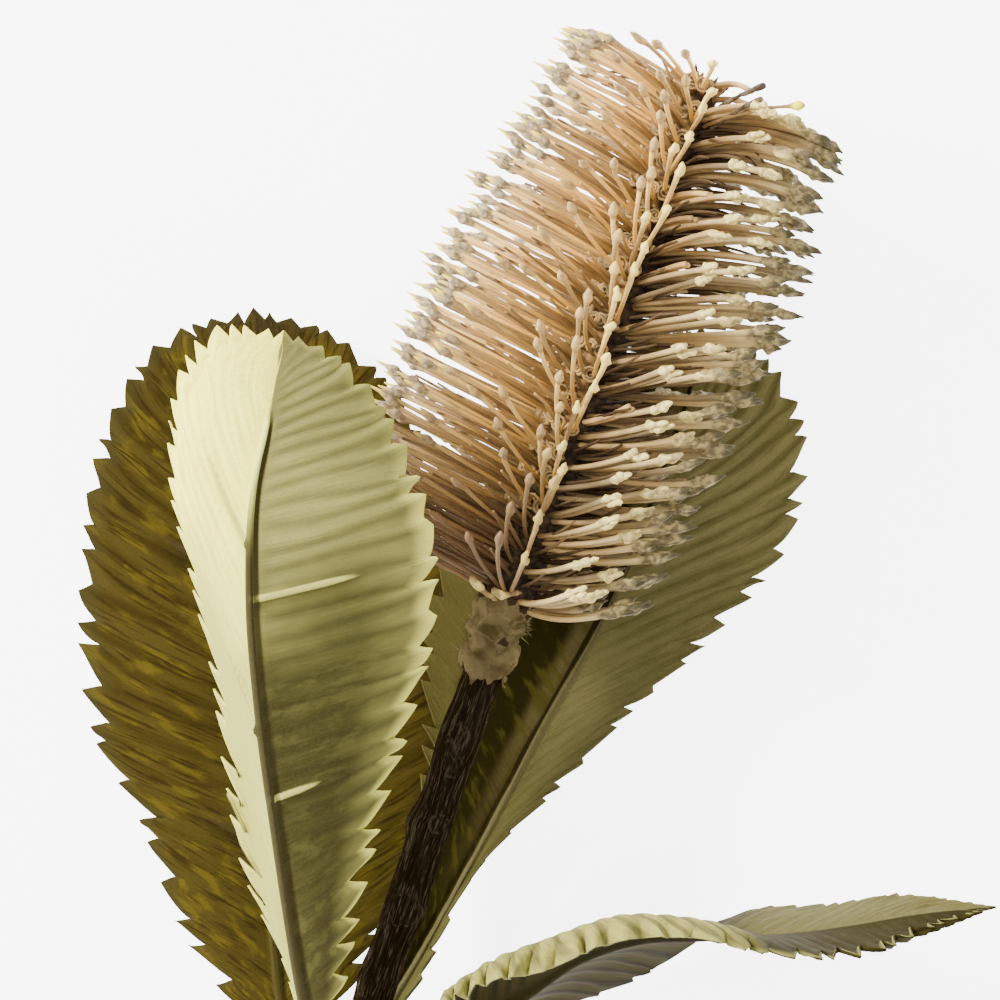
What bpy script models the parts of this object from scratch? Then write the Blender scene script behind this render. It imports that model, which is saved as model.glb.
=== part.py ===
"""Swamp banksia: one cut stem with its flower spike and four toothed leaves, lying on a flat surface.

Metres, +Z up. The spike points to +Y and a little to +X, and the origin is on the surface, under the
middle of the whole stem. All sizes below are in millimetres, measured from the foot of the spike's
axis straight down to the surface: X to the right, Y towards the spike's tip, Z up.
"""

import math
import random

import bmesh
import bpy
import numpy as np
from mathutils import Matrix

MILLIMETRE = 0.001
GAP = 0.3

# The point of the surface under the middle of the whole stem
CENTRE = (6.4, -57.9, 0.0)

# The spike: a slim core with a tier of styles every TIER_PITCH
SPIKE_FOOT = np.array((0.0, 0.0, 52.0))
SPIKE_AXIS = np.array((0.3615, 0.9308, 0.0533))
SPIKE_LENGTH = 150.0
CORE_SIDES = 14
PEG_HOLE_RADIUS = 3.3
PEG_HOLE_DEPTH = 25.0
FIRST_TIER = 3.0
TIER_PITCH = 7.9
TIERS = 19
STYLES_PER_TIER = 16
STUBS = 7

# How far the styles reach from the axis, by height up the spike: on its right, and on its left
HEIGHTS = (0, 25, 52, 80, 100, 120, 148)
REACH_RIGHT = (40, 42, 47, 49, 47.5, 44, 42.5)
REACH_LEFT = (49, 55, 56, 55, 51.5, 46.5, 42)
FRONT_SHORTER = 5.0
BACK_SHORTER = 8.5

# A style: a slender shaft, a knob near its end and a pointed tip
SHAFT_RADIUS = 0.95
KNOB_RADIUS = 1.9
KNOB_FROM_END = 5.5
SHAFT_END_FROM_END = 9.0
ROOT_BESIDE_HOLE = 4.3
ROOT_ABOVE_HOLE = 2.3
SAG = 3.5
ARCH_AT_TOP = 1.5

# The stem's axis, from its cut end to the end of the peg inside the core
STEM_RADIUS = 5.4
NECK_RADIUS = 5.0
PEG_RADIUS = 2.8
PEG_LENGTH = 24.0
STEM_SIDES = 12
STEM_RING_SPACING = 13.0
STEM_STATIONS = 1601
NECK_LENGTH = 18.0
SHOULDER = 0.6
STEM_AXIS = [
    (-77, -272, 5.34), (-70, -231, 11.5), (-60.5, -190, 18.5), (-48, -145, 27),
    (-36, -108, 33.5), (-23, -69, 41), (-6, -18.5, 49.4),
]

# Knots and leaf cushions: distance below the spike's foot, azimuth in degrees, height and length
KNOTS = [
    (38, 120, 1.6, 9), (64, 175, 1.5, 4), (88, 60, 1.2, 6), (109, 125, 1.2, 5),
    (133, 300, 1.8, 8), (144, 20, 1.8, 8), (155, 110, 2.0, 9), (167, 215, 2.0, 9),
    (215, 80, 1.2, 7), (250, 190, 1.3, 6),
]

# The collar: a ragged sleeve round the neck of the stem
COLLAR_LENGTH = 20.0
COLLAR_RADIUS = 6.7
COLLAR_FLARE = 2.2
COLLAR_SIDES = 18
COLLAR_TOP = 0.8
COLLAR_BORE = 5.6
COLLAR_LIP = 0.7

# The leaves' blades, ribs and teeth
BLADE_THICKNESS = 0.8
RIB_THICKNESS = 2.4
TEETH = 26
TOOTH_DEPTH = 3.8
TOOTH_LEAN = 0.85
TOOTH_WIDEST_SHARE = 0.25
CROWDING_TO_TIP = 1.25
PETIOLE_ROWS = 4
COLUMNS = 2

# Each leaf: its midrib from the stem's axis to its tip, both edges through the tips of the teeth, and
# how far the middle of each half, left and right, arches out at a quarter, half and three quarters
LEAVES = {
    "leaf_front": dict(
        midrib=[(-49, -146, 27), (-52, -121, 45), (-56, -94, 62), (-60, -62, 78), (-64, -27, 93),
                (-66, 2, 101), (-65, 30, 105), (-60, 54, 107), (-57, 72, 106)],
        left=[(-51, -146, 27), (-55, -118, 43), (-60, -95, 50), (-71, -71, 54), (-76, -41, 58),
              (-78, -20, 61), (-83, 5, 64), (-89, 35, 71), (-88, 56, 81), (-77, 73, 95), (-57, 72, 106)],
        right=[(-47, -146, 27), (-46, -121, 45), (-41, -93, 61), (-34, -62, 72), (-24, -28, 83),
               (-18, -5, 88), (-18, 16, 91), (-23, 36, 93), (-31, 52, 97), (-42, 65, 102), (-57, 72, 106)],
        arch=([(-2, 0, 2), (-3, 0, 2), (-3, 0, 3)], [(0, 0, 2), (0, 0, 3), (0, 0, 3)])),
    "leaf_back_left": dict(
        rests=True,
        midrib=[(-52, -158, 24.6), (-57, -138, 13), (-62, -117, 9), (-65, -88, 8), (-66, -55, 8),
                (-68, -14, 8), (-69, 28, 8), (-70, 56, 9), (-70, 82, 10)],
        left=[(-54, -159, 24.6), (-62, -138, 11), (-78, -111, 7), (-90, -94, 4.5), (-102, -62, 2.5),
              (-116, -36, 1), (-120, -10, 0.6), (-119, 13, 0.5), (-112, 50, 2), (-97, 73, 5.5), (-70, 82, 10)],
        right=[(-50, -157, 24.6), (-53, -137, 13), (-45, -116, 8), (-31, -88, 4.5), (-21, -61, 3),
               (-14, -33, 2.5), (-13, -5, 2), (-16, 26, 2.2), (-27, 54, 4.5), (-46, 74, 7.5), (-70, 82, 10)],
        arch=([(0, 0, 1.5)] * 3, [(0, 0, 1.5)] * 3)),
    "leaf_back_right": dict(
        rests=True,
        midrib=[(-42, -126, 30), (-36, -117, 24), (-29, -107, 18), (-8, -71, 7), (9, -39, 3.5),
                (28, -5, 2), (38, 16, 1.6), (46, 37, 1.6), (52, 56, 3), (55, 77, 7)],
        left=[(-44, -125, 30), (-38, -115, 24.5), (-30, -98, 18), (-25, -66, 13), (-23, -34, 11),
              (-20, -4, 9), (-10, 26, 6), (2, 45, 5), (21, 63, 5.2), (39, 74, 6), (55, 77, 7)],
        right=[(-40, -127, 30), (-33, -119, 24), (-22, -103, 18), (-8, -75, 13), (14, -53, 12),
               (34, -32, 12.5), (59, -9, 15), (77, 13, 18), (84, 42, 20), (76, 65, 15), (55, 77, 7)],
        arch=([(0, 0, -1), (0, 0, -1), (0, 0, 0)], [(0, 0, -1), (0, 0, -2), (0, 0, -2)])),
    "leaf_lower_right": dict(
        midrib=[(-45.5, -136, 28.5), (-29, -126, 34), (-12, -117, 39), (5, -107, 44), (21, -96, 48),
                (36, -91, 50), (58, -90, 51), (77, -89, 51), (93, -87, 50), (112, -84, 48), (133, -82, 46)],
        left=[(-45.5, -134, 26.5), (-28, -123, 28), (-7, -120, 20), (8, -117, 10), (24, -111, 4),
              (40, -104, 2.5), (56, -94, 5), (70, -86, 11), (90, -84, 18), (110, -80, 27), (133, -82, 46)],
        right=[(-45.5, -138, 30), (-30, -124, 41), (-17, -107, 58), (-5, -99, 76), (10, -95, 88),
               (28, -87, 92), (48, -86, 91), (68, -91, 86), (92, -93, 76), (116, -86, 60), (133, -82, 46)],
        arch=([(0, -1, 0), (0, 2, 0), (0, 1, 0)], [(0, 8, 1), (0, 7, 2), (0, -1, 1)])),
}

COLOURS = {
    "stem": (0.030, 0.021, 0.013), "bract_collar": (0.25, 0.16, 0.09), "flower_spike": (0.52, 0.36, 0.19),
    "leaf_front": (0.62, 0.60, 0.38), "leaf_back_left": (0.14, 0.10, 0.012),
    "leaf_back_right": (0.14, 0.12, 0.04), "leaf_lower_right": (0.40, 0.36, 0.20),
}


def along(points, fractions):
    """Points of a smooth cubic curve through the given ones, at fractions of its length."""
    points = np.asarray(points, dtype=float)
    chord = np.concatenate([[0.0], np.cumsum(np.linalg.norm(np.diff(points, axis=0), axis=1))])
    slopes = np.gradient(points, chord, axis=0)
    place = np.linspace(0.0, chord[-1], 60 * len(points))
    span = np.clip(np.searchsorted(chord, place, side="right") - 1, 0, len(points) - 2)
    width = (chord[span + 1] - chord[span])[:, None]
    t = (place[:, None] - chord[span][:, None]) / width
    dense = ((2 * t**3 - 3 * t**2 + 1) * points[span] + (t**3 - 2 * t**2 + t) * width * slopes[span]
             + (3 * t**2 - 2 * t**3) * points[span + 1] + (t**3 - t**2) * width * slopes[span + 1])
    length = np.concatenate([[0.0], np.cumsum(np.linalg.norm(np.diff(dense, axis=0), axis=1))])
    wanted = np.asarray(fractions) * length[-1]
    return np.stack([np.interp(wanted, length, dense[:, axis]) for axis in range(3)], axis=1)


def unit(vectors):
    """Each vector at length 1."""
    return vectors / np.linalg.norm(vectors, axis=-1, keepdims=True)


def crosswise(tangents):
    """The two directions square to each tangent: to its right in plan, and upwards."""
    right = unit(np.cross(tangents, (0.0, 0.0, 1.0)))
    return right, np.cross(right, tangents)


def mesh_object(name, points, faces, collection):
    """An object from points in millimetres, with its normals made to face out."""
    mesh = bpy.data.meshes.new(name)
    placed = (np.asarray(points, dtype=float).reshape(-1, 3) - CENTRE) * MILLIMETRE
    mesh.from_pydata(placed.tolist(), [], faces)
    solid = bmesh.new()
    solid.from_mesh(mesh)
    bmesh.ops.recalc_face_normals(solid, faces=solid.faces)
    solid.to_mesh(mesh)
    solid.free()
    item = bpy.data.objects.new(name, mesh)
    collection.objects.link(item)
    return item


def loft(name, rings, collection, ends="caps"):
    """A solid through rings of equally many points: capped at both ends, or joined end to end."""
    count, sides = len(rings), len(rings[0])
    points = np.concatenate(rings)
    spans = count if ends == "joined" else count - 1
    faces = []
    for ring in range(spans):
        low, high = ring * sides, (ring + 1) % count * sides
        for side in range(sides):
            after = (side + 1) % sides
            faces.append((low + side, low + after, high + after))
            faces.append((low + side, high + after, high + side))
    if ends == "caps":
        faces.append(tuple(range(sides)))
        faces.append(tuple(range(len(points) - sides, len(points))))
    return mesh_object(name, points, faces, collection)


def finish(item, name):
    """Names a finished object and gives it its own material."""
    item.name = name
    material = bpy.data.materials.new(name)
    material.use_nodes = True
    shader = material.node_tree.nodes["Principled BSDF"]
    shader.inputs["Base Color"].default_value = (*COLOURS[name], 1.0)
    shader.inputs["Roughness"].default_value = 0.75
    shader.inputs["Metallic"].default_value = 0.0
    item.data.materials.clear()
    item.data.materials.append(material)
    return item


def applied(item):
    """The object's mesh with its modifiers applied."""
    evaluated = item.evaluated_get(bpy.context.evaluated_depsgraph_get())
    mesh = bpy.data.meshes.new_from_object(evaluated)
    item.modifiers.clear()
    item.data = mesh
    return item


def stem_path():
    """The stem's axis from the cut end to the neck, then straight along the spike's axis."""
    peg = [tuple(SPIKE_FOOT + SPIKE_AXIS * reach) for reach in np.linspace(0.0, PEG_LENGTH, 4)]
    return along(STEM_AXIS + peg, np.linspace(0.0, 1.0, STEM_STATIONS))


def stem_stations():
    """Distance below the spike's foot, centre, right and up at each point of the stem's path."""
    path = stem_path()
    tangents = unit(np.gradient(path, axis=0))
    right, up = crosswise(tangents)
    length = np.concatenate([[0.0], np.cumsum(np.linalg.norm(np.diff(path, axis=0), axis=1))])
    foot = np.argmin(np.linalg.norm(path - SPIKE_FOOT, axis=1))
    return length[foot] - length, path, right, up


def stem_ring(stations, below, radius, extra):
    """One ring of the stem, with the knots that swell it there."""
    distance, path, right, up = stations
    here = np.argmin(np.abs(distance - below))
    azimuth = np.arange(STEM_SIDES) * math.tau / STEM_SIDES
    swelling = np.zeros(STEM_SIDES)
    for place, facing, height, length in KNOTS:
        towards = 0.5 + 0.5 * np.cos(azimuth - math.radians(facing))
        swelling += height * math.exp(-((below - place) / length) ** 2) * towards**2
    reach = (radius + swelling + extra)[:, None]
    return path[here] + reach * (np.cos(azimuth)[:, None] * right[here] + np.sin(azimuth)[:, None] * up[here])


def stem_solid(name, collection, extra=0.0):
    """The woody stem: a flat cut, knots and cushions, a neck and a peg."""
    stations = stem_stations()
    longest = float(stations[0][0])
    spaced = np.arange(NECK_LENGTH + STEM_RING_SPACING / 2, longest - STEM_RING_SPACING / 2, STEM_RING_SPACING)
    places = sorted({place for place, _, _, _ in KNOTS} | set(spaced), reverse=True)
    rings = [stem_ring(stations, place, STEM_RADIUS, extra) for place in [longest, *places]]
    rings += [stem_ring(stations, place, NECK_RADIUS, extra) for place in (NECK_LENGTH, SHOULDER)]
    rings += [stem_ring(stations, place, PEG_RADIUS, extra) for place in (SHOULDER, -PEG_LENGTH)]
    return loft(name, rings, collection)


def collar_solid(collection):
    """The collar: lumpy outside, a plain hole inside, torn into points at its lower edge."""
    stations = stem_stations()
    azimuth = np.arange(COLLAR_SIDES) * math.tau / COLLAR_SIDES
    torn = 1.6 * np.sin(4 * azimuth + 1.0) + 1.3 * np.sin(7 * azimuth)
    distance, path, right, up = stations

    def ring(share, radius):
        below = COLLAR_TOP + share * (COLLAR_LENGTH - COLLAR_TOP + torn)
        here = np.searchsorted(-distance, -below)
        outward = np.cos(azimuth)[:, None] * right[here] + np.sin(azimuth)[:, None] * up[here]
        return path[here] + np.broadcast_to(radius, azimuth.shape)[:, None] * outward

    def lumps(share):
        flare = COLLAR_FLARE * (1 - share) ** 3
        wave = 0.45 * np.sin(3 * azimuth + 5 * share) + 0.35 * np.sin(5 * azimuth - 7 * share)
        return COLLAR_RADIUS + flare + wave

    outside = [ring(share, lumps(share)) for share in (0.0, 0.2, 0.4, 0.6, 0.8, 0.95)]
    edge = [ring(1.0, COLLAR_BORE + COLLAR_LIP)]
    inside = [ring(share, COLLAR_BORE) for share in (0.97, 0.5, 0.0)]
    return loft("bract_collar", outside + edge + inside, collection, ends="joined")


def style_path(height, azimuth, lean, stretch, fractions):
    """A style's centre line: out of the axis at an angle to it, with a slight bow.

    Styles on the right stand closer to the spike's axis and are shorter than those on the left. The
    bow on the right turns from a sag low down to an arch near the top.
    """
    right, up = crosswise(SPIKE_AXIS)
    side, front = math.cos(azimuth), math.sin(azimuth)
    top = min(max((height - 90.0) / 55.0, 0.0), 1.0)
    angle = math.radians(78.5 - 6.5 * side - 5.5 * front + top * (3.5 + 8.5 * side) + lean)
    length = (np.interp(height, HEIGHTS, REACH_RIGHT) * (1 + side) / 2
              + np.interp(height, HEIGHTS, REACH_LEFT) * (1 - side) / 2
              - FRONT_SHORTER * max(front, 0.0) - BACK_SHORTER * max(-front, 0.0)) * stretch
    turn = math.cos(math.pi * min(max((height - 30.0) / 100.0, 0.0), 1.0))
    bow = -SAG * max(side, 0.0) * turn + ARCH_AT_TOP * max(-side, 0.0) * top
    towards = math.cos(angle) * SPIKE_AXIS + math.sin(angle) * (side * right + front * up)
    share = np.asarray(fractions)[:, None]
    return (SPIKE_FOOT + SPIKE_AXIS * height + towards * length * share
            + SPIKE_AXIS * bow * 4 * share * (1 - share)), length


def needle(path, radii, collection):
    """A three-sided needle along a path, flat at its first point and sharp at its last."""
    tangents = unit(np.gradient(path, axis=0))
    across = unit(np.cross(tangents, SPIKE_AXIS + 0.01))
    upward = np.cross(across, tangents)
    corners = math.radians(90) + np.arange(3) * math.tau / 3
    rings = [centre + radius * (np.cos(corners)[:, None] * side + np.sin(corners)[:, None] * rise)
             for centre, radius, side, rise in zip(path[:-1], radii, across, upward)]
    points = np.concatenate(rings + [path[-1:]])
    faces = [(2, 1, 0)]
    for low in range(0, 3 * len(rings) - 3, 3):
        for corner in range(3):
            after = (corner + 1) % 3
            faces.append((low + corner, low + after, low + 3 + after))
            faces.append((low + corner, low + 3 + after, low + 3 + corner))
    last = len(points) - 1
    faces += [(last - 3 + corner, last - 3 + (corner + 1) % 3, last) for corner in range(3)]
    mesh_object("needle", points, faces, collection)


def style_solid(height, azimuth, lean, stretch, collection):
    """One style: a shaft sunk in the core, a knob and a pointed tip."""
    _, length = style_path(height, azimuth, lean, stretch, [0.0])
    root = ROOT_BESIDE_HOLE if height < PEG_HOLE_DEPTH + 6.0 else ROOT_ABOVE_HOLE
    shares = [root / length, 0.5, 1 - SHAFT_END_FROM_END / length, 1 - KNOB_FROM_END / length, 1.0]
    radii = [SHAFT_RADIUS, SHAFT_RADIUS, SHAFT_RADIUS, KNOB_RADIUS]
    if math.cos(azimuth) < 0.2:
        del shares[1], radii[1]
    path, _ = style_path(height, azimuth, lean, stretch, shares)
    needle(path, radii, collection)


def stub_solid(azimuth, spread, reach, collection):
    """One short stub of an unopened flower at the apex."""
    right, up = crosswise(SPIKE_AXIS)
    outward = math.cos(azimuth) * right + math.sin(azimuth) * up
    foot = SPIKE_FOOT + SPIKE_AXIS * (SPIKE_LENGTH - 5.0) + outward * 1.6
    towards = math.cos(spread) * SPIKE_AXIS + math.sin(spread) * outward
    path = np.array([foot, foot + towards * reach * 0.6, foot + towards * reach])
    needle(path, [1.1, 1.3], collection)


def core_solid(collection):
    """The core, turned round the spike's axis, with the hole for the peg in its foot."""
    profile = [(0, SPIKE_LENGTH), (2.4, SPIKE_LENGTH - 1.0), (3.8, SPIKE_LENGTH - 5.0), (5.0, 120), (5.6, 40),
               (7.2, 0), (PEG_HOLE_RADIUS, 0), (PEG_HOLE_RADIUS, PEG_HOLE_DEPTH), (0, PEG_HOLE_DEPTH)]
    mesh = bpy.data.meshes.new("core profile")
    mesh.from_pydata([(radius * MILLIMETRE, 0, height * MILLIMETRE) for radius, height in profile],
                     [(index, index + 1) for index in range(len(profile) - 1)], [])
    core = bpy.data.objects.new("core", mesh)
    collection.objects.link(core)
    turn = core.modifiers.new("turn", "SCREW")
    turn.steps = turn.render_steps = CORE_SIDES
    turn.use_merge_vertices = True
    turn.merge_threshold = 0.00001
    applied(core)
    right, up = crosswise(SPIKE_AXIS)
    place = (SPIKE_FOOT - CENTRE) * MILLIMETRE
    core.data.transform(Matrix.Translation(place) @ Matrix((right, up, SPIKE_AXIS)).transposed().to_4x4())
    solid = bmesh.new()
    solid.from_mesh(core.data)
    bmesh.ops.recalc_face_normals(solid, faces=solid.faces)
    solid.to_mesh(core.data)
    solid.free()
    return core


def spike_solid(collection):
    """The core and its styles, tier by tier, joined in one solid."""
    draw = random.Random(11)
    styles = bpy.data.collections.new("styles")
    bpy.context.scene.collection.children.link(styles)
    for tier in range(TIERS):
        for place in range(STYLES_PER_TIER):
            azimuth = (place + 0.15 * (tier % 3 - 1) + draw.uniform(-0.1, 0.1)) * math.tau / STYLES_PER_TIER
            height = FIRST_TIER + tier * TIER_PITCH + draw.uniform(-0.5, 0.5)
            style_solid(height, azimuth, draw.uniform(-2.0, 2.0), draw.uniform(0.96, 1.02), styles)
    for place in range(STUBS):
        stub_solid(place * math.tau / STUBS, math.radians(draw.uniform(12, 40)), draw.uniform(8, 12), styles)
    core = core_solid(collection)
    joint = core.modifiers.new("styles", "BOOLEAN")
    joint.operation = "UNION"
    joint.operand_type = "COLLECTION"
    joint.collection = styles
    joint.solver = "MANIFOLD"
    applied(core)
    for style in list(styles.objects):
        bpy.data.objects.remove(style)
    bpy.data.collections.remove(styles)
    return core


def half_blade(midrib, edge, arch):
    """One half of a blade as rows of points from midrib to edge, with its teeth.

    Each tooth takes two rows: the notch before it, and its tip, which leans forward to the next notch.
    The teeth get smaller towards the leaf's tip.
    """
    rows = PETIOLE_ROWS + 2 * TEETH + 1
    row = np.arange(rows)

    def share(place):
        return 1 - (1 - place / (rows - 1)) ** CROWDING_TO_TIP

    bladed = (row >= PETIOLE_ROWS) & (row < rows - 1)
    tip = bladed & ((row - PETIOLE_ROWS) % 2 == 1)
    mid = along(midrib, share(row))
    across = along(edge, share(row + np.where(tip, 2 * TOOTH_LEAN - 1, 0.0))) - mid
    width = np.linalg.norm(across, axis=1, keepdims=True)
    depth = np.minimum(TOOTH_DEPTH, TOOTH_WIDEST_SHARE * width) * (bladed & ~tip)[:, None]
    across = across * (1 - depth / np.maximum(width, 0.001))
    stations = np.linspace(0.0, 1.0, 5)
    bulge = np.stack([np.interp(share(row), stations, [0, *lengths, 0]) for lengths in zip(*arch)], axis=1)
    place = (np.arange(COLUMNS + 1) / COLUMNS)[None, :, None]
    return mid[:, None] + across[:, None] * place + bulge[:, None] * 4 * place * (1 - place)


def leaf_thickness(rows, columns):
    """Thickness at each point of a leaf's grid: the rib and the petiole stand thicker than the blade."""
    taper = np.maximum(RIB_THICKNESS * (1.0 - 0.6 * np.arange(rows) / rows), BLADE_THICKNESS)
    thickness = np.full((rows, columns), BLADE_THICKNESS)
    thickness[:, COLUMNS] = taper
    thickness[:PETIOLE_ROWS - 1] = taper[:PETIOLE_ROWS - 1, None]
    return thickness


def leaf_solid(name, leaf, cutter, collection):
    """A leaf: two halves on one midrib, given their thickness and cut to the stem at the foot."""
    left = half_blade(leaf["midrib"], leaf["left"], leaf["arch"][0])
    right = half_blade(leaf["midrib"], leaf["right"], leaf["arch"][1])
    grid = np.concatenate([left[:-1, ::-1], right[:-1, 1:]], axis=1)
    rows, columns = grid.shape[:2]
    thickness = leaf_thickness(rows, columns)
    tip = left[-1, 0]
    if leaf.get("rests"):
        lowest = (grid[..., 2] - thickness / 2).min()
        grid[..., 2] -= lowest * np.minimum(np.arange(rows) / PETIOLE_ROWS, 1.0)[:, None]
        tip = tip - (0, 0, lowest)
    points = np.concatenate([grid.reshape(-1, 3), [tip]])
    faces = []
    for row in range(rows - 1):
        for column in range(columns - 1):
            low = row * columns + column
            high = low + columns
            if column < COLUMNS:
                faces += [(low, low + 1, high), (low + 1, high + 1, high)]
            else:
                faces += [(low, low + 1, high + 1), (low, high + 1, high)]
    last = (rows - 1) * columns
    faces += [(last + column, last + column + 1, len(points) - 1) for column in range(columns - 1)]
    item = mesh_object(name, points, faces, collection)
    group = item.vertex_groups.new(name="thickness")
    for index, wall_here in enumerate([*thickness.ravel(), BLADE_THICKNESS]):
        group.add([index], wall_here / RIB_THICKNESS, "REPLACE")
    wall = item.modifiers.new("thickness", "SOLIDIFY")
    wall.thickness = RIB_THICKNESS * MILLIMETRE
    wall.offset = 0.0
    wall.vertex_group = group.name
    foot = item.modifiers.new("foot", "BOOLEAN")
    foot.operation = "DIFFERENCE"
    foot.object = cutter
    return item


def build():
    """All the pieces of the stem, in one collection, and the cutter in another."""
    for item in list(bpy.data.objects):
        bpy.data.objects.remove(item)
    pieces = bpy.data.collections.new("swamp_banksia")
    cutters = bpy.data.collections.new("cutters")
    bpy.context.scene.collection.children.link(pieces)
    bpy.context.scene.collection.children.link(cutters)

    finish(stem_solid("stem", pieces), "stem")
    finish(collar_solid(pieces), "bract_collar")
    finish(spike_solid(pieces), "flower_spike")
    socket = stem_solid("stem_clearance", cutters, extra=GAP)
    socket.hide_render = True
    socket.display_type = "WIRE"
    for name, leaf in LEAVES.items():
        finish(leaf_solid(name, leaf, socket, pieces), name)


build()
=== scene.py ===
"""Swamp banksia: the finish of one cut stem, with its spike and four leaves, lying on a pale floor.

Lengths are in millimetres in the drawing that the part's source uses: X to the right, Y towards the
spike's tip, Z up, and the origin on the floor below the foot of the spike's axis.
"""

import math

import bmesh
import bpy
import numpy as np
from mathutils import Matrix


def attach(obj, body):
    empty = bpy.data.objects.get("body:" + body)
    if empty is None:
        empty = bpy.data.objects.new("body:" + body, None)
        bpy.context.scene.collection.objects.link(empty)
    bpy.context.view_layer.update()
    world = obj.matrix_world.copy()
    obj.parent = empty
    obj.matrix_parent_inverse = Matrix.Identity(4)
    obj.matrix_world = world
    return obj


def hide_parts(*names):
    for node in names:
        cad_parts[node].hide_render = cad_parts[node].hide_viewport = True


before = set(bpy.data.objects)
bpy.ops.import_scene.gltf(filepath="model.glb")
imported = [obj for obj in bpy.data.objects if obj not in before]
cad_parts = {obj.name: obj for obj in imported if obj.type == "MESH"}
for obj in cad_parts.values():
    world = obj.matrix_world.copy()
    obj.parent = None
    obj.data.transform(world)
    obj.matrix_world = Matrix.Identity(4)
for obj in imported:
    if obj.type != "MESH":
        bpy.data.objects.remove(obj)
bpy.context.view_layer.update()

# The stem: one woody shoot, cut off flat at its foot, with dark bark that is finely split along its
# length. Knots and leaf cushions swell it, round scars mark fallen leaves, and its neck fills the collar.
MILLIMETRE = 0.001
DRAWING_ORIGIN = np.array((6.4, -57.9, 0.0))
SPIKE_FOOT = np.array((0.0, 0.0, 52.0))
SPIKE_AXIS = np.array((0.3615, 0.9308, 0.0533))
STEM_AXIS = [
    (-77, -272, 5.34), (-70, -231, 11.5), (-60.5, -190, 18.5), (-48, -145, 27),
    (-36, -108, 33.5), (-23, -69, 41), (-6, -18.5, 49.4),
]
STEM_RADIUS = 5.4
NECK_RADIUS = 5.0
NECK_LENGTH = 18.0
SHOULDER = 0.6
PEG_RADIUS = 2.8
PEG_LENGTH = 24.0
STEM_SIDES = 84
STEM_ROWS = 320
BARK_SPLIT_WIDTH = 1.7
BARK_SPLIT_STRETCH = 14.0
BARK_SPLIT_DEPTH = 0.3
BARK_PLATE = 0.7
BARK_WAVE_SIZE = 6.0
BARK_WAVE_HEIGHT = 0.12
CUT_END_PAINTED = 0.3

# Knots and cushions: distance below the spike's foot, azimuth in degrees, height and length
KNOTS = [
    (38, 120, 1.6, 9), (64, 175, 1.5, 4), (88, 60, 1.2, 6), (109, 125, 1.2, 5),
    (133, 300, 1.8, 8), (144, 20, 1.8, 8), (155, 110, 2.0, 9), (167, 215, 2.0, 9),
    (215, 80, 1.2, 7), (250, 190, 1.3, 6),
]

# Scars: distance below the spike's foot, azimuth in degrees, radius and number of rims one in another
SCARS = [
    (36.5, 108, 3.2, 3), (45.5, 92, 2.4, 2), (87.3, 84, 4.0, 1), (111.4, 126, 2.3, 1),
    (66, 168, 1.8, 2), (62, 70, 2.6, 2), (178, 60, 3.5, 1), (232, 130, 3.0, 1), (196, 250, 3.2, 2),
]
SCAR_RIM = 0.32
SCAR_HEIGHT = 0.3
SCAR_STRETCH = 1.15


def along(points, fractions):
    """Points of a smooth cubic curve through the given ones, at fractions of its length."""
    points = np.asarray(points, dtype=float)
    chord = np.concatenate([[0.0], np.cumsum(np.linalg.norm(np.diff(points, axis=0), axis=1))])
    slopes = np.gradient(points, chord, axis=0)
    place = np.linspace(0.0, chord[-1], 60 * len(points))
    span = np.clip(np.searchsorted(chord, place, side="right") - 1, 0, len(points) - 2)
    width = (chord[span + 1] - chord[span])[:, None]
    t = (place[:, None] - chord[span][:, None]) / width
    dense = ((2 * t**3 - 3 * t**2 + 1) * points[span] + (t**3 - 2 * t**2 + t) * width * slopes[span]
             + (3 * t**2 - 2 * t**3) * points[span + 1] + (t**3 - t**2) * width * slopes[span + 1])
    length = np.concatenate([[0.0], np.cumsum(np.linalg.norm(np.diff(dense, axis=0), axis=1))])
    wanted = np.asarray(fractions) * length[-1]
    return np.stack([np.interp(wanted, length, dense[:, axis]) for axis in range(3)], axis=-1)


def unit(vectors):
    """Each vector at length 1."""
    return vectors / np.maximum(np.linalg.norm(vectors, axis=-1, keepdims=True), 1e-9)


def crosswise(tangents):
    """The two directions square to each tangent: to its right in plan, and upwards."""
    right = unit(np.cross(tangents, (0.0, 0.0, 1.0)))
    return right, np.cross(right, tangents)


def round_axis(azimuth, right, up):
    """The directions at azimuths round an axis: straight out from it, and onwards round it."""
    cosine, sine = np.cos(azimuth)[..., None], np.sin(azimuth)[..., None]
    return cosine * right + sine * up, cosine * up - sine * right


def combined(*lists):
    """Every combination of an entry from each list, as one long array for each list."""
    return [part.ravel() for part in np.meshgrid(*lists, indexing="ij")]


def turned(azimuth, facing):
    """How far azimuths are from one in degrees, the shorter way round."""
    return (azimuth - math.radians(facing) + math.pi) % math.tau - math.pi


def ripple(points, size, seed, waves=14):
    """A smooth random number, mostly between -1 and 1, at each point.

    It is the sum of sine waves about size long, in random directions and at random phases, divided by
    the square root of half their number.
    """
    draw = np.random.default_rng(seed)
    way = unit(draw.normal(size=(waves, np.shape(points)[-1])))
    way *= math.tau / (size * draw.uniform(0.7, 1.4, (waves, 1)))
    phase = draw.uniform(0, math.tau, waves)
    return np.sin(np.asarray(points) @ way.T + phase).sum(axis=-1) / math.sqrt(waves / 2) / 1.5


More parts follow.
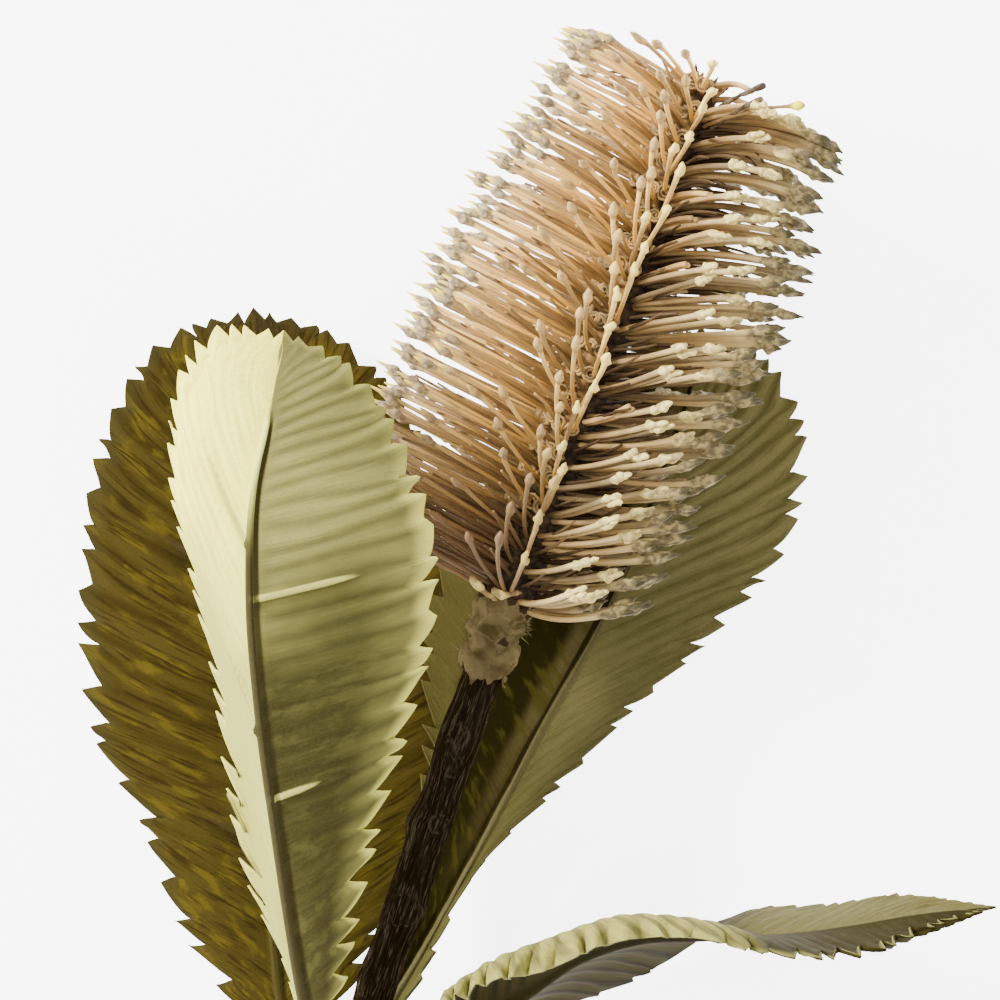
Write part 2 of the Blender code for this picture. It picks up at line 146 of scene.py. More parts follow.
def skin(name, rings, joined=False, **values):
    """A closed mesh through rings of points, for one body or for many at once.

    The last three axes of rings are the ring, the point on it, and X, Y and Z. Each ring joins the next.
    The last ring joins the first, or a fan closes each end at the middle of its ring. values hold a
    number for each point, and are kept as attributes.
    """
    rows, sides = rings.shape[-3:-1]
    points = rings.reshape(-1, rows * sides, 3)
    side = np.arange(sides)
    after = (side + 1) % sides
    ring = np.arange(rows if joined else rows - 1)[:, None]
    low, high = ring * sides, (ring + 1) % rows * sides
    wall = np.stack([low + side, low + after, high + after, high + side], axis=-1).reshape(-1, 4)
    fans = np.zeros((0, 3), dtype=int)
    if not joined:
        middles = rings[..., (0, -1), :, :].mean(axis=-2).reshape(-1, 2, 3)
        points = np.concatenate([points, middles], axis=1)
        last = (rows - 1) * sides
        foot = np.stack([np.full(sides, rows * sides), after, side], axis=-1)
        tip = np.stack([np.full(sides, rows * sides + 1), last + side, last + after], axis=-1)
        fans = np.concatenate([foot, tip])
    first = np.arange(len(points))[:, None, None] * points.shape[1]
    faces = (first + wall).reshape(-1, 4).tolist() + (first + fans).reshape(-1, 3).tolist()
    mesh = bpy.data.meshes.new(name)
    mesh.from_pydata(((points.reshape(-1, 3) - DRAWING_ORIGIN) * MILLIMETRE).tolist(), [], faces)
    for label, value in values.items():
        value = np.broadcast_to(value, rings.shape[:-1]).reshape(len(points), -1)
        if not joined:
            value = np.concatenate([value, value[:, :1], value[:, -1:]], axis=1)
        mesh.attributes.new(label, "FLOAT", "POINT").data.foreach_set("value",
                                                                      value.ravel().astype(np.float32))
    shell = bmesh.new()
    shell.from_mesh(mesh)
    bmesh.ops.recalc_face_normals(shell, faces=shell.faces)
    shell.to_mesh(mesh)
    shell.free()
    mesh.shade_smooth()
    item = bpy.data.objects.new(name, mesh)
    bpy.context.scene.collection.objects.link(item)
    return item


class Paint:
    """A socket in a material. Arithmetic on it adds Math nodes, and node() adds any other kind."""

    def __init__(self, tree, socket=None):
        self.tree = tree
        self.socket = socket

    def node(self, kind, inputs=(), out=0, **settings):
        """A new node: first its settings, then its sockets' values or links."""
        made = self.tree.nodes.new("ShaderNode" + kind)
        for name, value in settings.items():
            setattr(made, name, value)
        for name, value in dict(inputs).items():
            if isinstance(value, Paint):
                self.tree.links.new(value.socket, made.inputs[name])
            else:
                socket = made.inputs[name]
                socket.default_value = (*value, 1.0) if socket.type == "RGBA" else value
        return Paint(self.tree, made.outputs[out])

    def maths(self, operation, *values):
        return self.node("Math", enumerate(values), operation=operation)

    def __add__(self, other):
        return self.maths("ADD", self, other)

    __radd__ = __add__

    def __sub__(self, other):
        return self.maths("SUBTRACT", self, other)

    def __rsub__(self, other):
        return self.maths("SUBTRACT", other, self)

    def __mul__(self, other):
        return self.maths("MULTIPLY", self, other)

    __rmul__ = __mul__

    def between(self, low, high):
        """0 up to low, 1 from high on, and a smooth rise between."""
        return self.node("MapRange", {"Value": self, "From Min": low, "From Max": high},
                         interpolation_type="SMOOTHSTEP")

    def value(self, label):
        """An attribute of the mesh."""
        return self.node("Attribute", attribute_name=label, out="Fac")

    def place(self):
        """The object's own coordinates, in metres."""
        return self.node("TexCoord", out="Object")

    def vector(self, x, y, z=0.0):
        return self.node("CombineXYZ", {0: x, 1: y, 2: z})

    def mottle(self, size, detail=3.0, where=None):
        """Soft random blots of a size, from 0 to 1, in the object's own coordinates unless told where."""
        return self.node("TexNoise", {"Vector": where or self.place(), "Scale": 1.0 / size, "Detail": detail})

    def mix(self, low, high):
        """From one colour to another as this goes from 0 to 1."""
        return self.node("Mix", {"Factor": self, 6: low, 7: high}, out=2, data_type="RGBA")


def blank(name):
    """A new material, and the paint that its nodes start from."""
    material = bpy.data.materials.new(name)
    material.use_nodes = True
    return material, Paint(material.node_tree)


def dress(item, material, colour, roughness, gloss, height, depth):
    """Puts a material on a piece, with a relief as deep as depth. The roughness is a paint or a number."""
    shader = material.node_tree.nodes["Principled BSDF"]
    bump = colour.node("Bump", {"Height": height, "Distance": depth * MILLIMETRE}, out="Normal")
    looks = {"Base Color": colour, "Roughness": roughness, "Normal": bump, "Specular IOR Level": gloss}
    for socket, value in looks.items():
        if isinstance(value, Paint):
            colour.tree.links.new(value.socket, shader.inputs[socket])
        else:
            shader.inputs[socket].default_value = value
    item.data.materials.clear()
    item.data.materials.append(material)
    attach(item, "root")


def stem_frame(below):
    """Centre, right and up of the stem at distances below the spike's foot."""
    peg = [tuple(SPIKE_FOOT + SPIKE_AXIS * reach) for reach in np.linspace(0.0, PEG_LENGTH, 4)]
    path = along(STEM_AXIS + peg, np.linspace(0.0, 1.0, 1601))
    length = np.concatenate([[0.0], np.cumsum(np.linalg.norm(np.diff(path, axis=0), axis=1))])
    distance = length[np.argmin(np.linalg.norm(path - SPIKE_FOOT, axis=1))] - length
    right, up = crosswise(unit(np.gradient(path, axis=0)))
    pick = [np.stack([np.interp(-np.asarray(below), -distance, line[:, axis]) for axis in range(3)], axis=-1)
            for line in (path, right, up)]
    return distance[0], *pick


def stem_surface(below, azimuth, radius):
    """Rings round the stem's axis, out from it by the radius plus knots, scars and bark.

    A knot adds its height times a bell curve along the stem and the square of half one plus the cosine
    of the angle from its own. A scar adds rims, each a bell curve round a circle on the bark.
    """
    _, centre, right, up = stem_frame(below)
    swelling = np.zeros((len(below), len(azimuth)))
    for place, facing, height, length in KNOTS:
        towards = (0.5 + 0.5 * np.cos(azimuth - math.radians(facing))) ** 2
        swelling += height * np.exp(-((below - place) / length) ** 2)[:, None] * towards
    scar = np.zeros_like(swelling)
    lengthwise = np.broadcast_to((below / BARK_SPLIT_STRETCH)[:, None], swelling.shape)
    on_bark = np.stack([np.broadcast_to(STEM_RADIUS * np.cos(azimuth), swelling.shape),
                        np.broadcast_to(STEM_RADIUS * np.sin(azimuth), swelling.shape), lengthwise], axis=-1)
    uneven = ripple(on_bark * (1, 1, 6), 3.2, seed=5)
    for place, facing, reach, rims in SCARS:
        away = np.hypot((below - place)[:, None] / SCAR_STRETCH, STEM_RADIUS * turned(azimuth, facing))
        away = away + 0.45 * uneven
        for rim in range(rims):
            scar = np.maximum(scar, np.exp(-((away - reach * (1 - rim / rims)) / SCAR_RIM) ** 2))
    split = np.abs(ripple(on_bark, BARK_SPLIT_WIDTH, seed=3, waves=24))
    bark = BARK_SPLIT_DEPTH * (np.minimum(split, BARK_PLATE) - BARK_PLATE)
    bark = bark + BARK_WAVE_HEIGHT * ripple(on_bark, BARK_WAVE_SIZE, seed=4)
    reach = np.broadcast_to(radius, swelling.shape[:1])[:, None] + swelling + bark + SCAR_HEIGHT * scar
    outward, _ = round_axis(azimuth, right[:, None], up[:, None])
    return centre[:, None] + reach[..., None] * outward, split, scar, on_bark


longest = stem_frame([0.0])[0]
stem_below = np.concatenate([np.linspace(longest, NECK_LENGTH, STEM_ROWS), [NECK_LENGTH - 0.6, SHOULDER],
                             [SHOULDER - 0.1, -PEG_LENGTH]])
stem_radius = np.concatenate([np.full(STEM_ROWS, STEM_RADIUS), [NECK_RADIUS] * 2, [PEG_RADIUS] * 2])
stem_azimuth = np.arange(STEM_SIDES) * math.tau / STEM_SIDES
stem_points, stem_split, stem_scar, stem_on_bark = stem_surface(stem_below, stem_azimuth, stem_radius)
stem_points[..., 2] = np.maximum(stem_points[..., 2], 0.0)
stem_cut = np.maximum(0.0, 1 - np.abs(stem_below - longest) / CUT_END_PAINTED)[:, None]
stem = skin("stem_bark", stem_points, split=stem_split, scar=stem_scar, cut=stem_cut,
            round_x=stem_on_bark[..., 0], round_y=stem_on_bark[..., 1], run=stem_on_bark[..., 2])
bark, paint = blank("bark")
bark_place = paint.vector(paint.value("round_x"), paint.value("round_y"), paint.value("run"))
grain = paint.mottle(0.9, 5.0, bark_place)
fibre = paint.mottle(0.27, 1.0, bark_place).between(0.51, 0.66)
patch = paint.mottle(5.0, 3.0, bark_place)
ridge = paint.value("split").between(0.25, 0.9) * grain.between(0.4, 0.7)
colour = ridge.mix((0.0080, 0.0045, 0.0017), (0.023, 0.018, 0.010))
colour = (patch.between(0.5, 0.8) * 0.5).mix(colour, (0.013, 0.0089, 0.0063))
colour = (fibre * grain.between(0.35, 0.6) * 0.6).mix(colour, (0.086, 0.067, 0.039))
scarred = paint.value("scar").between(0.4, 0.95) * grain.between(0.3, 0.55) * 0.8
colour = scarred.mix(colour, (0.046, 0.035, 0.020))
colour = paint.value("cut").between(0.3, 0.9).mix(colour, (0.19, 0.11, 0.041))
dress(stem, bark, colour, 0.95 - 0.1 * ridge, 0.0, fibre * 0.5 + grain * 0.5, 0.3)
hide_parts("stem")

# The collar: a ragged sleeve of old bracts stuck round the neck in overlapping lobes, waxy and lumpy.
# Its torn top hides the foot of the spike, and its lower edge hangs over the dark bark in blunt points.
COLLAR_OUTSIDE = [(-2.6, 7.9), (-1.0, 8.3), (1.5, 7.9), (4.0, 7.3), (9.0, 7.2), (14.0, 7.5), (18.0, 6.9),
                  (20.0, 6.3)]
COLLAR_INSIDE = [(20.0, 5.6), (9.0, 5.6), (0.9, 5.6), (0.7, 7.5), (-2.6, 7.5)]
COLLAR_SIDES = 160
COLLAR_ROWS = 110
LUMP_SIZE = 7.0
LUMP_HEIGHT = 0.42
WRINKLE_SIZE = 2.6
WRINKLE_HEIGHT = 0.14
BRACT_THICKNESS = 0.95
BRACT_EDGE = 0.35
SLEEVE_RADIUS = 7.4
SLEEVE_SUNK = 1.1
FIBRES = 34
TUFT_FIBRES = 24
FIBRE_ROOT = 7.2
FIBRE_RADIUS = 0.24

# Bracts, the undermost first: distance below the spike's foot, azimuth in degrees, half length and width
BRACTS = [
    (4, 250, 5, 6), (5, 310, 6, 6), (4, 200, 6, 6), (15, 215, 6, 7), (15, 275, 6, 7), (14, 335, 6, 7),
    (2, 110, 4, 4), (2.5, 60, 4, 4), (5, 145, 4.5, 3.6), (6, 30, 5, 5), (15, 20, 7, 6), (9.5, 168, 3, 3),
    (7, 95, 5, 4.5), (14, 150, 6, 5), (16, 45, 6, 4), (15.8, 92, 8.6, 7.2),
]


def collar_surface(below, azimuth, radius):
    """Rings round the neck, both of whose edges are torn by a sum of sines of the azimuth.

    The tear grows to its full depth over the last quarter of the sleeve at each end.
    """
    low = 1.5 * np.sin(3 * azimuth + 2.6) + 1.1 * np.sin(7 * azimuth) + 0.5 * np.sin(17 * azimuth)
    high = 0.9 * np.sin(5 * azimuth) + 0.8 * np.sin(11 * azimuth + 1) + 0.4 * np.sin(23 * azimuth)
    top, foot = COLLAR_OUTSIDE[0][0], COLLAR_OUTSIDE[-1][0]
    share = ((below - top) / (foot - top))[:, None]
    torn = below[:, None] + low * np.clip(4 * share - 3, 0, 1) - high * np.clip(1 - 4 * share, 0, 1)
    _, centre, right, up = stem_frame(torn)
    return centre + radius[..., None] * round_axis(azimuth, right, up)[0]


collar_azimuth = np.arange(COLLAR_SIDES) * math.tau / COLLAR_SIDES
collar_below = np.linspace(COLLAR_OUTSIDE[0][0], COLLAR_OUTSIDE[-1][0], COLLAR_ROWS)
outside_radius = np.interp(collar_below, *np.transpose(COLLAR_OUTSIDE))[:, None] + np.zeros(COLLAR_SIDES)
smooth = collar_surface(collar_below, collar_azimuth, outside_radius)
lump = ripple(smooth, LUMP_SIZE, seed=21)
wrinkle = ripple(smooth, WRINKLE_SIZE, seed=22, waves=24)
bract_relief = np.zeros_like(lump)
bract_rim = np.zeros_like(lump)
for place, facing, half_length, half_width in BRACTS:
    turn = turned(collar_azimuth, facing)
    away = np.hypot((collar_below - place)[:, None] / half_length, SLEEVE_RADIUS * turn / half_width)
    inside = (1.0 + 0.1 * wrinkle + 0.2 * lump - away) * half_width
    covered = np.clip(inside / BRACT_EDGE, 0, 1)
    bract_relief = np.maximum(bract_relief * (1 - 0.35 * covered), 0)
    bract_relief = bract_relief + covered * BRACT_THICKNESS * (1 - 0.2 * np.clip(inside / 5, 0, 1))
    rim = np.exp(-((inside - 0.25) / BRACT_EDGE) ** 2)
    bract_rim = np.where(inside > 0, rim, bract_rim)
outside_radius = outside_radius - SLEEVE_SUNK + bract_relief + LUMP_HEIGHT * lump + WRINKLE_HEIGHT * wrinkle
inner_line = np.interp(-collar_below, *np.transpose([(-below, radius) for below, radius in COLLAR_INSIDE]))
outside_radius = np.maximum(outside_radius, inner_line[:, None] + 0.35)
outside = collar_surface(collar_below, collar_azimuth, outside_radius)
inner_below, inner_radius = np.transpose(COLLAR_INSIDE)
inside = collar_surface(inner_below, collar_azimuth, np.repeat(inner_radius[:, None], COLLAR_SIDES, axis=1))
rest = np.zeros((len(COLLAR_INSIDE), COLLAR_SIDES))
collar = skin("collar_bracts", np.concatenate([outside, inside]), joined=True,
              lump=np.concatenate([lump, rest]), rim=np.concatenate([bract_rim, rest]),
              relief=np.concatenate([bract_relief, rest]))
wax, paint = blank("waxy bract")
mottle = paint.mottle(0.0045, detail=4.0)
fine = paint.mottle(0.0012, detail=3.0)
colour = (paint.value("lump") * 0.3 + mottle).between(0.2, 0.8).mix((0.058, 0.042, 0.016),
                                                                    (0.11, 0.083, 0.036))
colour = (mottle.between(0.5, 0.66) * 0.7).mix(colour, (0.12, 0.086, 0.041))
colour = ((1 - mottle.between(0.3, 0.42)) * 0.5).mix(colour, (0.049, 0.041, 0.015))
colour = paint.value("relief").between(0.3, 0.75).mix((0.032, 0.020, 0.011), colour)
colour = (paint.value("rim") * 0.4).mix(colour, (0.20, 0.16, 0.078))
dress(collar, wax, colour, 0.45 + 0.2 * fine, 0.0, mottle * 0.6 + fine * 0.4, 0.2)
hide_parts("bract_collar")


def tubes(line, radius, squash=1.0):
    """Rings of points round many centre lines at once, square to each line."""
    ahead = unit(np.gradient(line, axis=1))
    across = unit(np.cross(ahead, SPIKE_AXIS + 0.013))
    upward = np.cross(across, ahead)
    corner = np.arange(radius.shape[-1]) * math.tau / radius.shape[-1]
    return line[:, :, None] + radius[..., None] * (np.cos(corner)[:, None] * across[:, :, None]
                                                   + squash * np.sin(corner)[:, None] * upward[:, :, None])


# A tuft of torn pale fibres on the collar's right, and single ones all round
fibre_draw = np.random.default_rng(23)
in_tuft = np.arange(FIBRES) < TUFT_FIBRES
fibre_facing = np.radians(np.where(in_tuft, fibre_draw.normal(28, 16, FIBRES),
                                   fibre_draw.uniform(0, 360, FIBRES)))
fibre_below = np.where(in_tuft, fibre_draw.uniform(2.5, 6.5, FIBRES), fibre_draw.uniform(2.5, 18, FIBRES))
_, fibre_root, fibre_right, fibre_up = stem_frame(fibre_below)
fibre_out, _ = round_axis(fibre_facing, fibre_right, fibre_up)
fibre_way = unit(fibre_out + SPIKE_AXIS * fibre_draw.uniform(-0.9, 0.9, (FIBRES, 1)))
fibre_reach = fibre_draw.uniform(1.2, 3.6, (FIBRES, 1))
way = np.linspace(0, 1, 6)
fibre_line = ((fibre_root + FIBRE_ROOT * fibre_out)[:, None]
              + fibre_way[:, None] * (fibre_reach * way)[..., None]
              + fibre_draw.normal(0, 0.4, (FIBRES, 1, 3)) * (way**2)[:, None])
fibre_radius = np.broadcast_to((FIBRE_RADIUS * (1.05 - way))[:, None], (FIBRES, 6, 5))
fibres = skin("collar_fibres", tubes(fibre_line, fibre_radius))
straw, paint = blank("straw fibre")
mottle = paint.mottle(0.002)
colour = mottle.between(0.35, 0.65).mix((0.061, 0.050, 0.018), (0.16, 0.15, 0.055))
dress(fibres, straw, colour, 0.9, 0.05, mottle, 0.1)
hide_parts("bract_collar")

# The spike's core: the thick brown axis that every flower grows from. It is rough, dark and pitted where
# it is seen along the front, and tan felt of spent flowers has grown over its left side.
SPIKE_LENGTH = 150.0
CORE_PROFILE = [(0, 7.2), (40, 5.6), (120, 5.0), (142, 4.4), (147, 3.6), (150, 1.2)]
CORE_ROWS = 240
CORE_SIDES = 80
CORE_ROUGHNESS = 0.45
FELT_THICKNESS = 2.2
FELT_STARTS = (26, 48)
FELT_AZIMUTHS = (88, 98, 255, 265)
FELT_FADES = 12
PIT_SIZE = 2.4
PEG_HOLE_DEPTH = 25.0
PEG_HOLE_RADIUS = 3.3

spike_right, spike_up = crosswise(SPIKE_AXIS)


def round_spike(height, azimuth, radius):
    """Points round the spike's axis: up it by the height, then out by the radius at the azimuth."""
    out, _ = round_axis(azimuth, spike_right, spike_up)
    return SPIKE_FOOT + SPIKE_AXIS * height[..., None] + out * radius[..., None]


core_height, core_azimuth = np.meshgrid(np.linspace(0.1, SPIKE_LENGTH, CORE_ROWS),
                                        np.arange(CORE_SIDES) * math.tau / CORE_SIDES, indexing="ij")
core_radius = np.interp(core_height, *np.transpose(CORE_PROFILE))
pits = ripple(round_spike(core_height, core_azimuth, core_radius), PIT_SIZE, seed=31, waves=20)
felt = np.interp(np.degrees(core_azimuth), FELT_AZIMUTHS, (0, 1, 1, 0))
felt = felt * np.clip((core_height - FELT_STARTS[0]) / (FELT_STARTS[1] - FELT_STARTS[0]), 0, 1)
felt = felt * np.clip((SPIKE_LENGTH - core_height) / FELT_FADES, 0, 1)
outside = round_spike(core_height, core_azimuth, core_radius + (CORE_ROUGHNESS + 0.3 * felt) * pits
                      + FELT_THICKNESS * felt)
hole_height, hole_azimuth = np.meshgrid([PEG_HOLE_DEPTH, 0.1], core_azimuth[0], indexing="ij")
hole = round_spike(hole_height, hole_azimuth, np.full_like(hole_height, PEG_HOLE_RADIUS))
core = skin("spike_core", np.concatenate([hole, outside]), felt=np.concatenate([0 * hole[..., 0], felt]))
core_wood, paint = blank("spike core")
mottle = paint.mottle(0.0022, detail=5.0)
colour = mottle.between(0.35, 0.7).mix((0.010, 0.0055, 0.0018), (0.050, 0.030, 0.014))
tan = mottle.between(0.35, 0.65).mix((0.083, 0.047, 0.018), (0.26, 0.14, 0.044))
colour = paint.value("felt").between(0.2, 0.8).mix(colour, tan)
dress(core, core_wood, colour, 0.95, 0.2, mottle, 0.6)
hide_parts("flower_spike")

# The styles: the stiff slender threads of the open flowers, in tiers round the core. On the left they are
# thin, with a round taupe knob and a fine point. On the right they touch in pairs, with waxy lumps.
TIERS = 20
FIRST_TIER = 2.6
TIER_PITCH = 7.5
SEAM = 90.0
LEFT_STEP = 12.86
LEFT_STYLES = 15
LEFT_MATES = (4, 5, 6, 7, 8, 9, 10, 11, 12, 13)
MATE_STEP = 5.5
MATE_HEIGHT = 2.7
GOLD_STYLES = 15
PAIR_STEP = 17.0
PAIRS = 9
FIRST_PAIR = 62.0
PAIR_HALF_GAP = 0.8
SHADED_BACK_STYLES = 11
LEFT_THINNED = (20, 75)
LEFT_KEPT_SHARE = 0.5
GOLD_FIRST = 108
GOLD_STEP = 9.5
SHADED_BACK_FIRST = 68
SHADED_BACK_STEP = 13
STYLE_ANGLE = 78.5
STEEPER_ON_RIGHT = 6.5
STEEPER_IN_FRONT = 5.5
STYLE_ROOT = 4.2
STYLE_SIDES = 8
THIN_STYLE_SIDES = 6
HEIGHTS = (0, 25, 52, 80, 100, 120, 148)
REACH_RIGHT = (40, 42, 47, 49, 47.5, 44, 42.5)
REACH_LEFT = (49, 55, 56, 55, 51.5, 46.5, 42)
FRONT_SHORTER = 5.0
BACK_SHORTER = 8.5
SAG = 3.5
SAG_OF_LOWEST = 2.5
ARCH_AT_TOP = 1.5
HOOK_RISE = 5.5
HOOK_DROP = 4.0
FROM_END = np.array([13.0, 10.4, 8.7, 7.5, 6.6, 5.8, 5.0, 4.2, 3.5, 2.7, 1.4, 0.1])
SHAFT_RINGS = 7

# The ends of the styles: distance from the tip and radius there
SLENDER_END = [(0, 0.1), (1.4, 0.36), (2.7, 0.5), (3.5, 0.85), (4.2, 1.2), (5.0, 1.32), (5.8, 1.24),
               (6.6, 0.95),
               (7.5, 0.74), (8.7, 0.62), (13, 0.56)]
CREAM_END = [(0, 0.2), (0.8, 0.5), (1.4, 0.8), (2.7, 1.15), (3.5, 1.3), (4.2, 1.05), (5.0, 0.75), (13, 0.6)]
ROUND_END = [(0, 0.3), (1.4, 0.95), (2.7, 1.32), (3.5, 1.3), (4.2, 1.05), (5.0, 0.85), (5.8, 0.68),
             (13, 0.58)]
WAXY_END = [(0, 0.35), (0.8, 0.7), (1.4, 0.9), (2.7, 0.85), (3.5, 0.95), (4.2, 1.15), (5.0, 1.25),
            (5.8, 1.15),
            (6.6, 0.95), (7.5, 0.84), (10.4, 0.78), (13, 0.76)]
SCALY_END = [(0, 0.12), (1.4, 0.6), (2.7, 1.0), (4.2, 1.35), (5.8, 1.4), (7.5, 1.1), (10.4, 0.82), (13, 0.74)]
BARE_END = [(0, 0.35), (13, 0.55)]
CUT_END = [(0, 0.72), (13, 0.75)]


def style_centre(height, azimuth, lean, stretch, share, bend, hook):
    """Centre lines of styles, out of the axis at an angle to it, with a bow, a bend and a kinked tip.

    Each runs straight from its foot, plus a parabola along the spike's axis that sags low on the right
    and arches near its top, plus a parabola sideways times bend, which turns back beyond the knob. Those
    with a hook bend over towards the spike's tip with the cube of the way along them.
    """
    side, front = np.cos(azimuth), np.sin(azimuth)
    top = np.clip((height - 90) / 55, 0, 1)
    steeper = STEEPER_ON_RIGHT * side + STEEPER_IN_FRONT * front
    angle = np.radians(STYLE_ANGLE - steeper + top * (3.5 + 8.5 * side) + lean)
    length = (np.interp(height, HEIGHTS, REACH_RIGHT) * (1 + side) / 2
              + np.interp(height, HEIGHTS, REACH_LEFT) * (1 - side) / 2
              - FRONT_SHORTER * np.maximum(front, 0) - BACK_SHORTER * np.maximum(-front, 0)) * stretch
    turn = np.cos(math.pi * np.clip((height - 30) / 100, 0, 1))
    sag = SAG + SAG_OF_LOWEST * np.clip(1 - height / 15, 0, 1)
    bow = -sag * np.maximum(side, 0) * turn + ARCH_AT_TOP * np.maximum(-side, 0) * top
    out, across = round_axis(azimuth, spike_right, spike_up)
    towards = np.cos(angle)[:, None] * SPIKE_AXIS + np.sin(angle)[:, None] * out
    share = share(length)
    hump = 4 * share * (1 - share)
    foot = SPIKE_FOOT + SPIKE_AXIS * height[:, None]
    line = foot[:, None] + towards[:, None] * (length[:, None] * share)[..., None]
    line = line + SPIKE_AXIS * (bow[:, None] * hump)[..., None]
    line = line + (hook[:, None] * share**3)[..., None] * (HOOK_RISE * SPIKE_AXIS - HOOK_DROP * out)[:, None]
    return line + across[:, None] * (bend[:, None] * hump * (1.3 - 1.6 * share))[..., None], length


def styles(name, height, azimuth, ends, seed, beside=0.0, kin=None, reach=1.0, lumpy=0.0, kinky=0.5, hook=0.0,
           sides=STYLE_SIDES):
    """Styles as closed tubes, as thick as a mix of the end shapes says at each distance from the tip.

    ends pairs each end shape with every style's share of it. beside moves a style sideways. kin numbers
    the styles that grow as one bundle and lean alike. A lumpy end swells and shrinks at random.
    """
    draw = np.random.default_rng(seed)
    count = len(height)
    kin = np.arange(count) if kin is None else kin
    own = draw.uniform(0, 1, count)
    lean = draw.normal(0, 1.5, kin.max() + 1)[kin] + draw.normal(0, 0.45, count)
    stretch = draw.uniform(0.965, 1.015, kin.max() + 1)[kin] + draw.normal(0, 0.012, count)
    bend = draw.normal(0, 0.8, kin.max() + 1)[kin] + draw.normal(0, 0.35, count)

    def share(length):
        shaft = np.linspace(STYLE_ROOT / length, 1 - 16 / length, SHAFT_RINGS, axis=1)
        return np.concatenate([shaft, 1 - FROM_END / length[:, None]], axis=1)

    hook = np.broadcast_to(hook, count)
    line, length = style_centre(height, azimuth, lean, stretch * reach, share, bend, hook)
    from_end = (1 - share(length)) * length[:, None]
    _, sideways = round_axis(azimuth, spike_right, spike_up)
    line = line + sideways[:, None] * np.broadcast_to(beside, count)[:, None, None]
    line = line + draw.normal(0, kinky, (count, 1, 3)) * np.clip(1 - from_end / 7.5, 0, 1)[..., None]
    radius = sum(np.broadcast_to(weight, count)[:, None] * np.interp(from_end, *np.transpose(shape))
                 for shape, weight in ends)
    knob = np.maximum.accumulate(np.clip((radius / radius[:, :1] - 1.1) / 0.4, 0, 1), axis=1)
    full = np.repeat(radius[..., None], sides, axis=-1)
    swell = 1 + lumpy * knob[..., None] * ripple(tubes(line, full), 2.9, seed, waves=20)
    for_each = dict(own=own, up=height / SPIKE_LENGTH, front=np.sin(azimuth), side=np.cos(azimuth))
    return skin(name, tubes(line, full * swell), knob=knob[..., None], from_end=from_end[..., None],
                along=(1 - from_end / length[:, None])[..., None],
                **{label: value[:, None, None] for label, value in for_each.items()})


tier = np.arange(TIERS)
twist = 1.6 * np.sin(tier * 1.7)
draw = np.random.default_rng(41)
left_turn = np.concatenate([LEFT_STEP * np.arange(LEFT_STYLES), LEFT_STEP * np.array(LEFT_MATES) + MATE_STEP])
left_tier, left_place = combined(tier, np.arange(len(left_turn)))
kept = (left_turn[left_place] < LEFT_THINNED[0]) | (left_turn[left_place] > LEFT_THINNED[1])
kept = kept | (draw.uniform(0, 1, left_tier.size) < LEFT_KEPT_SHARE)
left_tier, left_place = left_tier[kept], left_place[kept]
left_count = left_tier.size
left_turn = left_turn[left_place]
left_azimuth = SEAM + left_turn + twist[left_tier] + draw.normal(0, 1.8, left_count)
left_height = FIRST_TIER + TIER_PITCH * left_tier + draw.normal(0, 0.7, left_count)
left_height += np.where(left_place < LEFT_STYLES, 0.0, MATE_HEIGHT * np.where(left_tier < TIERS - 1, 1, -1))
at_seam = np.clip(1 - left_turn / 9, 0, 1)
in_front = np.clip(1.4 - left_turn / 50, 0, 1) * (1 - at_seam)
left_hook = np.interp(left_turn, (0, 13, 26, 45), (1.0, 1.3, 0.6, 0.0))
left_styles = styles("styles_left", left_height, np.radians(left_azimuth),
                     [(CREAM_END, at_seam), (ROUND_END, in_front), (SLENDER_END, 1 - at_seam - in_front)],
                     seed=42, lumpy=(0.12 + 0.33 * at_seam)[:, None, None],
                     hook=left_hook * np.clip((140 - left_height) / 30, -0.3, 1))

# Shorter styles between the tiers on the left and back. Their darker gold-brown is partly painted shade
# inside the spike.
gold_tier, gold_place = combined(tier[:-1], np.arange(GOLD_STYLES))
gold_azimuth = np.radians(GOLD_FIRST + GOLD_STEP * gold_place + draw.normal(0, 3, gold_tier.size))
gold_height = FIRST_TIER + TIER_PITCH * (gold_tier + 0.62) + draw.normal(0, 0.9, gold_tier.size)
gold_styles = styles("styles_gold", gold_height, gold_azimuth, [(BARE_END, 1.0)], seed=47,
                     sides=THIN_STYLE_SIDES, reach=draw.uniform(0.55, 0.9, gold_tier.size))

pair_tier, pair_place, pair_side = combined(tier, np.arange(PAIRS), (-1, 1))
pair_own = draw.normal(0, 1.6, (TIERS, PAIRS))[pair_tier, pair_place]
pair_azimuth = np.radians(FIRST_PAIR - PAIR_STEP * pair_place + twist[pair_tier] + pair_own)
pair_height = FIRST_TIER + TIER_PITCH * np.minimum(pair_tier, TIERS - 1.7)
pair_height = pair_height + draw.normal(0, 0.7, (TIERS, PAIRS))[pair_tier, pair_place]
scaly = np.clip((0.75 - np.sin(pair_azimuth)) / 0.6, 0, 1)
right_styles = styles("styles_right", pair_height, pair_azimuth, [(WAXY_END, 1 - scaly), (SCALY_END, scaly)],
                      seed=43, beside=PAIR_HALF_GAP * pair_side, kin=PAIRS * pair_tier + pair_place,
                      lumpy=0.36, kinky=0.8)

# Short thin styles at half pitch behind the pairs on the right. Their near-black colour is painted shade
# behind and between the pairs.
shaded_back_tier, shaded_back_place = combined(tier[:-2], np.arange(SHADED_BACK_STYLES))
shaded_back_azimuth = np.radians(SHADED_BACK_FIRST - SHADED_BACK_STEP * shaded_back_place + draw.normal(0, 3, shaded_back_tier.size))
shaded_back_height = FIRST_TIER + TIER_PITCH * (shaded_back_tier + 0.5) + draw.normal(0, 1.4, shaded_back_tier.size)
shaded_back_styles = styles("styles_back_painted_shade", shaded_back_height, shaded_back_azimuth, [(BARE_END, 1.0)], seed=44,
                      sides=THIN_STYLE_SIDES, reach=draw.uniform(0.45, 0.75, shaded_back_tier.size))

